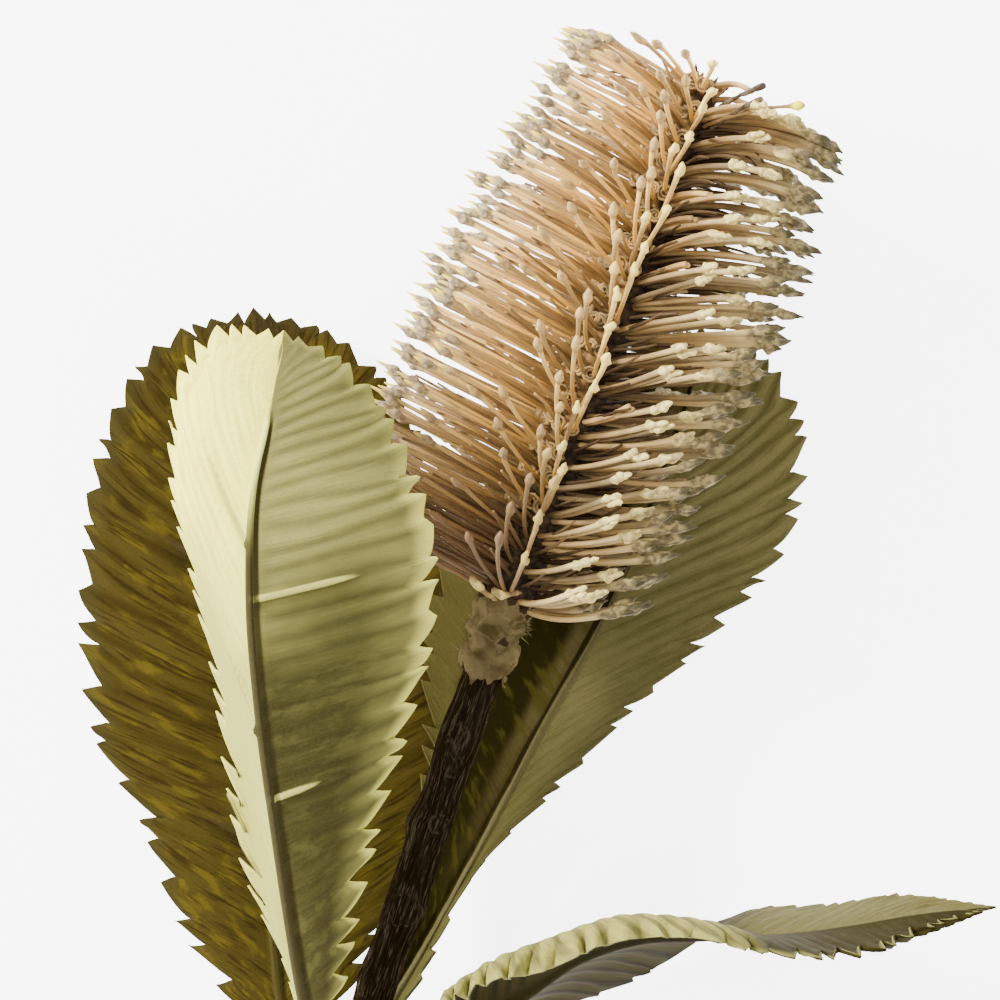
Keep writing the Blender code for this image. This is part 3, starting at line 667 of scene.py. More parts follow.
# Styles that lost their knob along the front, cut off square: height, azimuth and share of full length
CUT_STYLES = [(115, 63, 0.6), (107.5, 66, 0.56), (92.5, 64, 0.66), (52.5, 62, 0.6), (148, 52, 0.5),
              (144, 35, 0.52)]
CUT_HALF_GAP = 0.66
cut = np.repeat(np.array(CUT_STYLES, dtype=float), 2, axis=0)
cut_styles = styles("styles_cut", cut[:, 0], np.radians(cut[:, 1]), [(CUT_END, 1.0)], seed=45,
                    beside=np.tile((-CUT_HALF_GAP, CUT_HALF_GAP), len(CUT_STYLES)),
                    kin=np.repeat(np.arange(len(CUT_STYLES)), 2), reach=cut[:, 2], kinky=0.05)

# Colours of the styles, and how much they shine. Those with a knob have chalky ends. root and deep also serve
# as painted shade, front and seam as painted light on knobs that face up, and the gold and back styles'
# darker colours are painted shade inside the spike.
STYLE_COLOURS = {
    "styles_left": dict(gloss=0.4, root=(0.11, 0.054, 0.019), shaft=(0.84, 0.47, 0.091),
                        outer=(0.90, 0.60, 0.19), deep=(0.22, 0.14, 0.054), point=(0.90, 0.67, 0.073),
                        knob=(0.17, 0.13, 0.080), knob_light=(0.47, 0.36, 0.17),
                        front=(0.57, 0.35, 0.11), seam=(0.90, 0.66, 0.16)),
    "styles_gold": dict(gloss=0.3, root=(0.093, 0.048, 0.017), shaft=(0.30, 0.18, 0.054),
                        outer=(0.45, 0.26, 0.080), deep=(0.13, 0.078, 0.030), point=(0.11, 0.059, 0.022)),
    "styles_right": dict(gloss=0.12, root=(0.23, 0.15, 0.064), shaft=(0.45, 0.29, 0.11),
                         outer=(0.54, 0.40, 0.17), deep=(0.100, 0.074, 0.040), point=(0.068, 0.056, 0.025),
                         knob=(0.13, 0.10, 0.051), knob_light=(0.32, 0.25, 0.10),
                         front=(0.73, 0.58, 0.20), seam=(0.69, 0.54, 0.19)),
    # The back styles' near-black colours are painted shade.
    "styles_back_painted_shade": dict(gloss=0.05, root=(0.030, 0.018, 0.0084), shaft=(0.073, 0.046, 0.022),
                         outer=(0.13, 0.082, 0.039), deep=(0.028, 0.016, 0.0078),
                         point=(0.089, 0.059, 0.027)),
    "styles_cut": dict(gloss=0.2, root=(0.075, 0.050, 0.026), shaft=(0.63, 0.38, 0.14),
                       outer=(0.84, 0.54, 0.19), deep=(0.21, 0.13, 0.059), point=(0.40, 0.25, 0.095)),
}


def style_finish(item, tone):
    """Tan threads with chalky knobs and pale points. They darken to the core, partly in their own colour and
    partly as painted shade. Painted shade also darkens the back and the low left, and painted light makes
    knobs that face up paler.
    """
    material, paint = blank(item.name)
    streak = paint.mottle(0.0016, detail=5.0)
    blot = paint.mottle(0.007, detail=3.0)
    length, own, front = paint.value("along"), paint.value("own"), paint.value("front")
    # Darker towards the root: partly the styles' own colour and partly painted shade near the core.
    colour = length.between(0.08, 0.36).mix(tone["root"], tone["shaft"])
    colour = length.between(0.45, 0.85).mix(colour, tone["outer"])
    colour = ((own * 0.6 + blot * 0.4).between(0.42, 0.7) * 0.75).mix(colour, tone["deep"])
    # Painted shade: styles on the back of the spike darken towards the deep colour.
    colour = ((1 - front.between(-0.5, 0.3)) * 0.25).mix(colour, tone["deep"])
    if "knob" in tone:
        chalk = streak.between(0.4, 0.62).mix(tone["knob"], tone["knob_light"])
        # Painted light: knobs that face up towards the lamps, and the seam's knobs, turn paler, partly in
        # their own cream colour.
        facing = front.between(0.45, 0.8) * (0.45 + 0.55 * streak.between(0.4, 0.56))
        chalk = facing.mix(chalk, tone["front"])
        chalk = front.between(0.985, 0.995).mix(chalk, tone["seam"])
        colour = paint.value("knob").between(0.1, 0.7).mix(colour, chalk)
    point = 1 - paint.value("from_end").between(1.6, 3.4)
    colour = (point * (1 - front.between(0.5, 0.85))).mix(colour, tone["point"])
    shaded = (1 - paint.value("up").between(0.03, 0.42)) * (1 - paint.value("side").between(-0.1, 0.2)) * 0.92
    colour = shaded.mix(colour, tone["root"])
    dress(item, material, colour, 0.5 + 0.2 * streak, tone["gloss"], streak, 0.2)
    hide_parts("flower_spike")


for threads in (left_styles, gold_styles, right_styles, shaded_back_styles, cut_styles):
    style_finish(threads, STYLE_COLOURS[threads.name])

# Loose styles: two thick pale ones at the spike's foot, which bend away to the left over the collar, a
# thin one with a yellow knob and two grey blunt ones, which stand out to the right at its tip
LOOSE_STYLES = [
    [(4.5, 3.5, 57), (1.8, 3.2, 61), (-1.2, 3.0, 63), (-3.6, 4.6, 64)],
    [(-1.5, 1.5, 58.5), (-4.5, 3.0, 61.5), (-7.2, 5.2, 63.5), (-9.2, 8.0, 64)],
    [(53, 128, 64), (60, 129.5, 80), (68, 131, 86), (78.5, 131.6, 88)],
    [(54, 131, 62), (58.5, 133.5, 72), (63.5, 135.6, 80), (68.2, 137.3, 84)],
    [(55, 127.5, 66), (59.5, 129.8, 79), (63.5, 131.8, 86), (67, 133.2, 89)],
]
LOOSE_RADIUS = [(0, 0.7), (0.5, 0.75), (0.62, 0.9), (0.76, 1.3), (0.88, 0.95), (0.96, 0.75), (1, 0.3)]
THIN_RADIUS = [(0, 0.55), (0.88, 0.5), (0.92, 1.1), (0.95, 1.4), (0.98, 1.1), (1, 0.4)]
BLUNT_RADIUS = [(0, 0.6), (0.8, 0.62), (0.9, 0.85), (0.99, 0.95), (1, 0.8)]
loose_way = np.linspace(0, 1, 44)
loose_line = np.stack([along(points, loose_way) for points in LOOSE_STYLES])
loose_radius = np.stack([np.interp(loose_way, *np.transpose(shape))
                         for shape in (LOOSE_RADIUS, LOOSE_RADIUS, THIN_RADIUS, BLUNT_RADIUS, BLUNT_RADIUS)])
loose_radius = np.repeat(loose_radius[..., None], 10, axis=-1)
loose_radius = loose_radius * (1 + 0.2 * ripple(tubes(loose_line, loose_radius), 3.0, seed=46))
loose = skin("styles_loose", tubes(loose_line, loose_radius), wax=np.clip(loose_radius / 0.25 - 3, 0, 1),
             grey=np.array((0, 0, 0, 1, 1))[:, None, None], yellow=np.array((0, 0, 1, 0, 0))[:, None, None])
pale_wax, paint = blank("pale wax")
mottle = paint.mottle(0.003, detail=4.0)
colour = mottle.between(0.35, 0.65).mix((0.28, 0.22, 0.077), (0.79, 0.63, 0.19))
colour = paint.value("yellow").mix(colour, (0.90, 0.78, 0.033))
colour = paint.value("wax").mix((0.23, 0.14, 0.052), colour)
grey = mottle.between(0.4, 0.6).mix((0.053, 0.039, 0.022), (0.13, 0.098, 0.054))
colour = paint.value("grey").mix(colour, grey)
dress(loose, pale_wax, colour, 0.6 + 0.1 * mottle, 0.15, mottle, 0.3)
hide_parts("flower_spike")

# The spent flower tubes: flat tan curls, wound up like snails, that lie on the core's left side between
# the tiers, and a tuft of torn brown scales and stubs at the spike's tip.
CURLS_PER_TIER = 8
CURL_FIRST = 95
CURL_STEP = 18
CURL_RADIUS = 2.3
CURL_TURNS = 2.2
CURL_HALF_WIDTH = 0.46
CURL_FLATTENED = 1.7
CURL_STANDS_AT = 10.2
CURL_ROWS = 20
CURL_SIDES = 6
CURL_FIRST_TIER = 3
SCALES = 34

curl_tier, curl_place = combined(tier[CURL_FIRST_TIER:], np.arange(CURLS_PER_TIER))
draw = np.random.default_rng(51)
curl_azimuth = np.radians(CURL_FIRST + CURL_STEP * curl_place + draw.normal(0, 3.0, curl_tier.size))
curl_height = FIRST_TIER + TIER_PITCH * (curl_tier + 0.5) + draw.normal(0, 0.5, curl_tier.size)
curl_place_out = CURL_STANDS_AT + draw.normal(0, 0.4, curl_tier.size) + 1.2 * (curl_place == 0)
way = np.linspace(0, 1, CURL_ROWS)
angle = math.tau * CURL_TURNS * way + draw.uniform(0, math.tau, (curl_tier.size, 1))
reach = CURL_RADIUS * draw.uniform(0.8, 1.12, (curl_tier.size, 1)) * (1 - 0.85 * way)
curl_out, curl_across = round_axis(curl_azimuth, spike_right, spike_up)
curl_line = (round_spike(curl_height, curl_azimuth, curl_place_out)[:, None]
             + SPIKE_AXIS * (reach * np.sin(angle))[..., None]
             + curl_across[:, None] * (reach * np.cos(angle))[..., None]
             + curl_out[:, None] * (0.9 * way - 0.9)[None, :, None])
curl_ahead = unit(np.gradient(curl_line, axis=1))
curl_side = unit(np.cross(curl_ahead, curl_out[:, None]))
corner = np.arange(CURL_SIDES) * math.tau / CURL_SIDES
curl_half = (CURL_HALF_WIDTH * (1.1 - 0.5 * way))[None, :, None, None]
across_band = np.cos(corner)[:, None] * curl_side[:, :, None]
through_band = CURL_FLATTENED * np.sin(corner)[:, None] * curl_out[:, None, None]
curls = skin("spent_flower_curls", curl_line[:, :, None] + curl_half * (across_band + through_band))
curl_skin, paint = blank("spent flower")
mottle = paint.mottle(0.003, detail=4.0)
colour = mottle.between(0.35, 0.65).mix((0.13, 0.086, 0.036), (0.36, 0.22, 0.073))
dress(curls, curl_skin, colour, 0.8, 0.2, mottle, 0.2)
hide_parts("flower_spike")

scale_draw = np.random.default_rng(55)
scale_azimuth = scale_draw.uniform(0, math.tau, SCALES)
scale_spread = np.radians(scale_draw.uniform(0, 38, SCALES))
scale_reach = scale_draw.uniform(4.0, 9.5, SCALES)
scale_out, _ = round_axis(scale_azimuth, spike_right, spike_up)
scale_way = np.cos(scale_spread)[:, None] * SPIKE_AXIS + np.sin(scale_spread)[:, None] * scale_out
way = np.linspace(0, 1, 10)
scale_line = (SPIKE_FOOT + SPIKE_AXIS * (SPIKE_LENGTH - 5.5) + scale_out[:, None] * 1.6
              + scale_way[:, None] * (scale_reach[:, None] * way)[..., None]
              + scale_draw.normal(0, 0.5, (SCALES, 1, 3)) * (way**2)[None, :, None])
scale_width = (1.5 * np.sqrt(1 - 0.96 * way) * (1 + 0.35 * np.sin(9 * way)))[None, :, None]
ragged = scale_draw.uniform(0.6, 1.3, (SCALES, 10, 6))
scales = skin("tip_scales", tubes(scale_line, scale_width * ragged, squash=0.5), way=way[None, :, None],
              own=scale_draw.uniform(0, 1, SCALES)[:, None, None])
brown, paint = blank("torn brown scales")
mottle = paint.mottle(0.002, detail=4.0)
colour = (mottle * 0.6 + paint.value("own") * 0.4).between(0.35, 0.65)
colour = colour.mix((0.053, 0.029, 0.014), (0.26, 0.15, 0.054))
colour = (paint.value("way").between(0.75, 1.0) * 0.5).mix(colour, (0.030, 0.018, 0.010))
dress(scales, brown, colour, 0.9, 0.2, mottle, 0.4)
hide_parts("flower_spike")

# The leaves: four long stiff blades with saw teeth, each on its own short stalk. A round rib stands out
# along the middle, side veins press soft waves into the blade, and thin wires stiffen some of the veins.
TEETH = 30
TOOTH_WIDEST_SHARE = 0.42
TOOTH_LEAN = 0.86
TOOTH_LEAN_AT_TIP = 0.5
TOOTH_SWELL = 1.08
CROWDING_TO_TIP = 1.25
STALK_ROWS = 4
CAD_ROWS = 64
ROWS_PER_TOOTH = 10
STALK_RINGS = 22
HALF_COLUMNS = 32
FAN_AT_TIP = 0.05
BLADE_THICKNESS = 0.7
STALK_THICKNESS = 2.2
WIRE_HEIGHT = 0.9
WIRE_WIDTH = 0.12
WIRE_SHADE = 1.1
VEINS_PER_TOOTH = 1.2
VALLEY_ROUNDNESS = 0.03
BUCKLE_SIZE = 45.0
CLEAR_OF_FLOOR = 0.02

# Each leaf: lines along its midrib and edges, an arch for each half at three stations, and its teeth's
# depth, its veins' slant and the rest from foot to tip or from left to right. A wire is a side, the tooth
# that it starts from and its reach. slip moves the right notches on towards the tip, in teeth.
LEAVES = {
    "leaf_front": dict(
        midrib=[(-49, -146, 27), (-52, -121, 45), (-56, -94, 62), (-60, -62, 78), (-64, -27, 93),
                (-66, 2, 101), (-65, 30, 105), (-60, 54, 107), (-57, 72, 106)],
        left=[(-51, -146, 27), (-55, -118, 43), (-60, -95, 50), (-71, -71, 54), (-76, -41, 58),
              (-78, -20, 61), (-83, 5, 64), (-89, 35, 71), (-88, 56, 81), (-77, 73, 95), (-57, 72, 106)],
        right=[(-47, -146, 27), (-46, -121, 45), (-41, -93, 61), (-34, -62, 72), (-24, -28, 83),
               (-18, -5, 88), (-18, 16, 91), (-23, 36, 93), (-31, 52, 97), (-42, 65, 102), (-57, 72, 106)],
        arch=([(0, 0, 0), (0, 0, 0), (-2, 0, 2)], [(0, 0, 2), (0, 0, 3), (0, 0, 3)]),
        teeth=((19.0, 2.4), (7.0, 2.6)), lean=((3.4, 5.7), (1.2, -2.2)), wave=(0.12, 0.2), uneven=0.4,
        buckle=0.4, rib=dict(half_width=1.2, height=1.5, ends=0.9, shadow_side=1, shadow_width=0.7),
        wires=[(1, 17.9, 0.62), (-1, 19.9, 0.45), (1, 10.7, 0.42), (-1, 13.2, 0.4)],
        slot="leaf_pale",
        # The right half's darker colours, foot and rib_foot are painted shade of the half turned from the
        # lamp; its rim is painted light near the right teeth.
        colours=dict(left=((0.70, 0.58, 0.072), (0.90, 0.90, 0.13)),
                     right=((0.095, 0.087, 0.028), (0.28, 0.26, 0.072)),
                     patch=(0.22, 0.20, 0.057), streak=(0.093, 0.082, 0.027),
                     rim=(0.61, 0.58, 0.12), rib=(0.90, 0.90, 0.21), rib_dark=(0.032, 0.025, 0.0074),
                     wire=(0.41, 0.39, 0.10), wire_dark=(0.043, 0.039, 0.0082),
                     rib_foot=(0.043, 0.036, 0.013), foot=(0.026, 0.023, 0.0054),
                     foot_left=(0.30, 0.29, 0.062),
                     under=(0.11, 0.10, 0.037)),
        patchy=(0.12, 0.12), streaky=0.18, pleat_shade=0.28, foot_on=(0.9, 0.95), foot_rows=(0.5, 0.72),
        rimmed=(0.5, 0.9), rim_from=0.86, rim_fades=0.8),
    "leaf_back_left": dict(
        rests=True,
        midrib=[(-52, -158, 24.6), (-57, -138, 13), (-62, -117, 9), (-65, -88, 8), (-66, -55, 8),
                (-68, -14, 8), (-69, 28, 8), (-70, 56, 9), (-70, 82, 10)],
        left=[(-54, -159, 24.6), (-62, -138, 11), (-78, -111, 7), (-90, -94, 4.5), (-102, -62, 2.5),
              (-116, -36, 1), (-120, -10, 0.6), (-119, 13, 0.5), (-112, 50, 2), (-97, 73, 5.5),
              (-70, 82, 10)],
        right=[(-50, -157, 24.6), (-53, -137, 13), (-45, -116, 8), (-31, -88, 4.5), (-21, -61, 3),
               (-14, -33, 2.5), (-13, -5, 2), (-16, 26, 2.2), (-27, 54, 4.5), (-46, 74, 7.5), (-70, 82, 10)],
        arch=([(0, 0, 1.5)] * 3, [(0, 0, 1.5)] * 3),
        teeth=((7.0, 3.6), (6.0, 3.2)), lean=((1.6, 2.6), (1.6, 2.6)), wave=(0.12, 0.12), uneven=0.8,
        buckle=0.5, rib=dict(half_width=1.5, height=1.0, ends=0.95, shadow_side=1, shadow_width=0.5),
        wires=[(-1, 16.9, 0.62), (1, 16.9, 0.6), (-1, 8.2, 0.5)],
        slot="leaf_dark",
        colours=dict(left=((0.022, 0.014, 0.0010), (0.043, 0.031, 0.0045)),
                     right=((0.034, 0.022, 0.0020), (0.064, 0.044, 0.0072)),
                     patch=(0.075, 0.055, 0.0046), streak=(0.015, 0.0090, 0.0013), rim=(0.034, 0.030, 0.0097),
                     tip_left=(0.027, 0.020, 0.0064), tip_right=(0.027, 0.020, 0.0067),
                     rib=(0.046, 0.037, 0.0089), rib_dark=(0.012, 0.0093, 0.0012),
                     wire=(0.034, 0.024, 0.0071),
                     wire_dark=(0.011, 0.0071, 0.0010), rib_foot=(0.046, 0.037, 0.0089),
                     foot=(0.051, 0.043, 0.0058),
                     foot_left=(0.040, 0.030, 0.0044), under=(0.046, 0.040, 0.011)),
        patchy=(0.75, 0.75), streaky=0.8, foot_on=(0.8, 0.8), foot_rows=(0.1, 0.62), rimmed=(0.4, 0.3),
        rim_from=0.84, tip_from=(0.84, 0.96)),
    "leaf_back_right": dict(
        rests=True,
        midrib=[(-42, -126, 30), (-36, -117, 24), (-29, -107, 18), (-8, -71, 7), (9, -39, 3.5),
                (28, -5, 2), (38, 16, 1.6), (46, 37, 1.6), (52, 56, 3), (55, 77, 7)],
        left=[(-44, -125, 30), (-38, -115, 24.5), (-30, -98, 18), (-25, -66, 13), (-23, -34, 11),
              (-23, -3, 9), (-12, 26, 6), (2, 45, 5), (21, 63, 5.2), (39, 74, 6), (55, 77, 7)],
        right=[(-40, -127, 30), (-33, -119, 24), (-22, -103, 18), (-8, -75, 13), (14, -53, 12),
               (34, -32, 12.5), (59, -9, 15), (77, 13, 18), (84, 42, 20), (76, 65, 15), (55, 77, 7)],
        arch=([(0, 0, -1), (0, 0, -1), (0, 0, 0)], [(0, 0, -1), (0, 0, -2), (0, 0, -2)]),
        teeth=((4.0, 4.0), (4.4, 4.6)), slip=0.3, lean=((2.0, 3.0), (2.4, 3.6)), wave=(0.1, 0.34),
        pleats_from=12, uneven=0.5, buckle=0.4, banded=0.85,
        rib=dict(half_width=1.4, height=1.0, ends=0.95, shadow_side=-1, shadow_width=0.5),
        slot="leaf_dark",
        # The left half's dark olive is the print; the right half's paler khaki is partly the cloth's colour
        # and partly painted light and sheen on the half turned to the lamp, and the left rim is painted
        # sheen.
        colours=dict(left=((0.0078, 0.0063, 0.0003), (0.016, 0.013, 0.0009)),
                     right=((0.073, 0.063, 0.018), (0.17, 0.15, 0.057)),
                     patch=(0.049, 0.042, 0.0053), streak=(0.019, 0.013, 0.0019), rim=(0.11, 0.093, 0.026),
                     rib=(0.11, 0.094, 0.038), rib_dark=(0.012, 0.0093, 0.0013),
                     rib_foot=(0.11, 0.094, 0.038), foot=(0.067, 0.061, 0.010),
                     foot_left=(0.031, 0.026, 0.0031), band=(0.083, 0.066, 0.022),
                     under=(0.051, 0.046, 0.017)),
        patchy=(0.85, 0.15), streaky=0.25, foot_on=(0.3, 0.5), foot_rows=(0.1, 0.5), rimmed=(1.0, 0.1),
        rim_from=0.62),
    "leaf_lower_right": dict(
        midrib=[(-45.5, -136, 28.5), (-29, -126, 34), (-12, -117, 39), (5, -107, 44), (21, -96, 48),
                (36, -91, 50), (58, -90, 51), (77, -89, 51), (93, -87, 50), (112, -84, 48), (133, -82, 46)],
        left=[(-45.5, -134, 26.5), (-28, -123, 28), (-7, -120, 20), (8, -117, 10), (24, -111, 4),
              (40, -104, 2.5), (56, -94, 5), (70, -86, 11), (90, -84, 18), (110, -80, 27), (133, -82, 46)],
        right=[(-45.5, -138, 30), (-30, -124, 41), (-17, -107, 58), (-5, -99, 76), (10, -95, 88),
               (28, -87, 92), (48, -86, 91), (68, -91, 86), (92, -93, 76), (116, -86, 60), (133, -82, 46)],
        arch=([(0, -1, 0), (0, 2, 0), (0, 1, 0)], [(0, 8, 1), (0, 7, 2), (0, -1, 1)]),
        teeth=((5.0, 0.8), (5.0, 12.0)), lean=((2.2, 3.4), (2.2, 3.4)), wave=(0.3, 0.3), uneven=0.6,
        buckle=0.4, rib=dict(half_width=1.6, height=1.2, ends=0.55, shadow_side=1, shadow_width=0.7), fold_shade=True,
        slot="leaf_pale",
        # The left half's near-black is painted shade of the far half, the right half's paler colours are
        # partly the cloth's colour and partly painted light, and band is painted shade in the fold.
        colours=dict(left=((0.0059, 0.0047, 0.0010), (0.018, 0.015, 0.0054)),
                     right=((0.15, 0.13, 0.039), (0.29, 0.27, 0.066)),
                     patch=(0.054, 0.049, 0.018), streak=(0.011, 0.0092, 0.0028), rim=(0.26, 0.25, 0.068),
                     rib=(0.077, 0.077, 0.037), rib_dark=(0.018, 0.014, 0.0055),
                     rib_foot=(0.077, 0.077, 0.037), foot=(0.13, 0.12, 0.037),
                     foot_left=(0.027, 0.021, 0.0033), band=(0.013, 0.011, 0.0039),
                     under=(0.011, 0.0084, 0.0012),
                     tip_left=(0.087, 0.075, 0.020), tip_right=(0.028, 0.023, 0.0073)),
        patchy=(0.2, 0.2), streaky=0.35, pleat_shade=0.9, foot_on=(0.5, 0.5), foot_rows=(0.1, 0.4),
        rimmed=(0.2, 0.6), rim_from=0.88, tip_from=(0.5, 0.6)),
}


def edge_rows(q, seed):
    """Where along the edge each row of the blade ends, and how deep it is cut in there.

    Counted in teeth. A row on the first half of a tooth climbs its long outer side, which takes most of
    the pitch, and a row on the second half comes back along the short side. The teeth are uneven: their
    places shift by a sum of two sines, and each notch has a depth of its own. The last tooth is the
    leaf's tip, which both halves share.
    """
    draw = np.random.default_rng(seed)
    notch = draw.uniform(0.6, 1.3, TEETH + 3)
    tooth = np.clip(np.floor(q + 1e-6), 0, TEETH).astype(int)
    part = np.clip(q - tooth, 0, 1)
    rise, fall = np.clip(part / 0.5, 0, 1), np.clip((part - 0.5) / 0.5, 0, 1)
    lean = TOOTH_LEAN + (TOOTH_LEAN_AT_TIP - TOOTH_LEAN) * np.clip(q / TEETH, 0, 1) ** 4
    lean = np.where(tooth == TEETH - 1, 1.0, lean)
    ends = tooth + lean * rise + (1 - lean) * fall
    shift = 0.22 * np.sin(2.1 * ends + seed) + 0.08 * np.sin(4.7 * ends)
    ends = ends + shift * np.clip(TEETH - 0.5 - q, 0, 1)
    cut = np.where(part < 0.5, notch[tooth] * (1 - rise) ** TOOTH_SWELL, notch[tooth + 1] * fall)
    return np.where(q < 0, q, ends), np.where(q < 0, np.clip(1 + q, 0, 1) * notch[0], cut)


def half_blade(leaf, side, q, seed):
    """One half of a blade: a grid from the midrib out to the toothed edge, and how far out each column is.

    A point is its row's place on the midrib, plus its share of the way across to the edge, plus an arch
    that is highest halfway. The pull towards a tooth's tip grows with the fourth power of that share, and
    the cut and the slip of its notch with the square. Near the leaf's tip the rows lag behind on the
    midrib, so that they fan out round the tip.
    """
    midrib, edge = leaf["midrib"], leaf["left" if side < 0 else "right"]
    share_out = (1 - np.cos(math.pi * np.arange(HALF_COLUMNS + 1) / HALF_COLUMNS)) / 2

    def share(place):
        row = np.clip((STALK_ROWS + 2 * place) / CAD_ROWS, 0, 1)
        return 1 - (1 - row) ** CROWDING_TO_TIP

    ends, cut = edge_rows(q, seed)
    slip = leaf.get("slip", 0.0) * max(side, 0) * cut * np.clip(1.6 - 2 * share(q), 0, 1)
    reached = q[:, None] + (ends - q)[:, None] * share_out**4 + slip[:, None] * share_out**2
    lag = FAN_AT_TIP * np.clip((share(q) - 0.75) / 0.25, 0, 1) ** 2
    spine = along(midrib, share(q) - lag)[:, None]
    across = along(edge, share(reached)) - spine
    width = np.linalg.norm(across, axis=-1, keepdims=True)
    teeth_low, teeth_high = leaf["teeth"][0 if side < 0 else 1]
    deepest = (teeth_low + (teeth_high - teeth_low) * share(q))[:, None, None]
    depth = np.minimum(deepest, TOOTH_WIDEST_SHARE * width) * cut[:, None, None]
    across = across * (1 - depth * share_out[:, None] ** 2 / np.maximum(width, 0.001))
    arch = [(0, 0, 0), *leaf["arch"][0 if side < 0 else 1], (0, 0, 0)]
    bulge = np.stack([np.polyval(np.polyfit(np.linspace(0, 1, 5), lengths, 4), share(q))
                      for lengths in np.transpose(arch)], axis=-1)
    hump = 4 * share_out * (1 - share_out)
    grid = spine + across * share_out[:, None] + bulge[:, None] * hump[:, None]
    return grid, np.broadcast_to(share_out, grid.shape[:2]), width[..., 0] * share_out


def leaf_piece(name, leaf, seed):
    """A leaf as one closed skin: its upper face, then back along its lower face, row by row.

    Both faces are the middle surface moved along its normal by the relief and by half the thickness.
    The relief is a broad ridge with a narrow valley for each side vein, slow buckles, and wires and rib
    as rounded ridges.
    """
    stalk = np.linspace(-STALK_ROWS / 2 + 0.35, 0, STALK_RINGS, endpoint=False)
    q = np.concatenate([stalk, np.arange((TEETH - 0.5) * ROWS_PER_TOOTH + 1) / ROWS_PER_TOOTH])
    left, left_out, left_far = half_blade(leaf, -1, q, seed)
    right, right_out, right_far = half_blade(leaf, 1, q, seed + 1)
    grid = np.concatenate([left[:, ::-1], right[:, 1:]], axis=1)
    out = np.concatenate([-left_out[:, ::-1], right_out[:, 1:]], axis=1)
    far = np.concatenate([left_far[:, ::-1], right_far[:, 1:]], axis=1)
    row = np.clip((STALK_ROWS + 2 * q) / CAD_ROWS, 0, 1)[:, None]
    lean = np.where(out < 0, *[low + (high - low) * row**2 for low, high in leaf["lean"]])
    vein = q[:, None] - lean * np.abs(out) ** 0.9
    normal = unit(np.cross(np.gradient(grid, axis=1), np.gradient(grid, axis=0)))
    blade = np.clip((q[:, None] + 0.5) / 2.5, 0, 1) * np.clip((far - 2) / 5, 0, 1)
    blade = blade * np.clip((TEETH - 0.5 - q[:, None]) / 3, 0, 1)
    pleated = blade * np.clip((q[:, None] - leaf.get("pleats_from", -9)) / 8, 0.2, 1)
    side_key = np.where(out < 0, 0.0, 40.0)
    uneven = ripple(np.stack([vein / 2.2, out + side_key], axis=-1), 1.0, seed)
    pleat = np.cos(math.pi * VEINS_PER_TOOTH * vein + leaf["uneven"] * uneven) ** 2
    pleat = np.sqrt(pleat + VALLEY_ROUNDNESS) * 2 - 1
    strength = np.where(out < 0, *leaf["wave"])
    relief = pleated * strength * (0.8 + 0.4 * uneven) * pleat
    relief += leaf["buckle"] * blade * ripple(grid, BUCKLE_SIZE, seed + 9)
    wire, wire_dark = np.zeros_like(relief), np.zeros_like(relief)
    for side, starts, reach in leaf.get("wires", ()):
        on_side = (np.sign(out) == side) & (np.abs(out) < reach + 0.05)
        fade = np.clip((reach - np.abs(out)) / 0.2, 0, 1) ** 0.5
        wide = WIRE_WIDTH * (0.3 + 0.7 * fade)
        wire = np.maximum(wire, on_side * fade * np.exp(-((vein - starts) / wide) ** 2))
        # A painted shadow below each wire, fading away from it.
        below = np.clip((starts - WIRE_WIDTH - vein) / WIRE_SHADE, 0, 1)
        wire_dark = np.maximum(wire_dark, on_side * fade * (vein < starts) * (1 - below) ** 2)
    rib_width = leaf["rib"]["half_width"] * (1 - 0.45 * row)
    rib_on = np.clip((leaf["rib"]["ends"] - row) / 0.06, 0, 1)
    rib = np.sqrt(np.clip(1 - (far / rib_width) ** 2, 0, 1)) * rib_on
    # A painted shadow along the rib's shade side: a strip just beyond the rib.
    beside = far * np.sign(out) * leaf["rib"]["shadow_side"]
    shadow_edge = (beside - 1.1 * rib_width - leaf["rib"]["shadow_width"]) / leaf["rib"]["shadow_width"]
    rib_dark = np.clip(1.6 - np.abs(shadow_edge), 0, 1) * rib_on * np.clip((q[:, None] + 0.5) / 2, 0, 1)
    stalky = np.clip(1 - (q[:, None] + 1.2) / 1.4, 0, 1)
    half = (BLADE_THICKNESS + (STALK_THICKNESS - BLADE_THICKNESS) * stalky) / 2
    ridge = leaf["rib"]["height"] * (1 - 0.4 * row) * rib * (1 - 0.7 * stalky)
    top = grid + normal * (relief + WIRE_HEIGHT * wire + half + ridge - 0.5 * rib_dark)[..., None]
    bottom = grid + normal * (relief - half - 0.6 * ridge)[..., None]
    if leaf.get("rests"):
        lowest = min(top[..., 2].min(), bottom[..., 2].min())
        lift = (CLEAR_OF_FLOOR - lowest) * np.clip(1 + q / 2, 0, 1)[:, None]
        top[..., 2] += lift
        bottom[..., 2] += lift

    def both(value):
        value = np.broadcast_to(value, relief.shape)
        return np.concatenate([value, value[:, ::-1]], axis=1)

    faces = np.concatenate([np.ones_like(relief), np.zeros_like(relief)], axis=1)
    return skin(name + "_blade", np.concatenate([top, bottom[:, ::-1]], axis=1), out=both(out),
                vein=both(vein),
                wave=both(pleat * pleated), rib=both(rib), rib_dark=both(rib_dark), wire=both(wire),
                wire_dark=both(wire_dark), upper=faces, beside=both(beside), row=both(row))


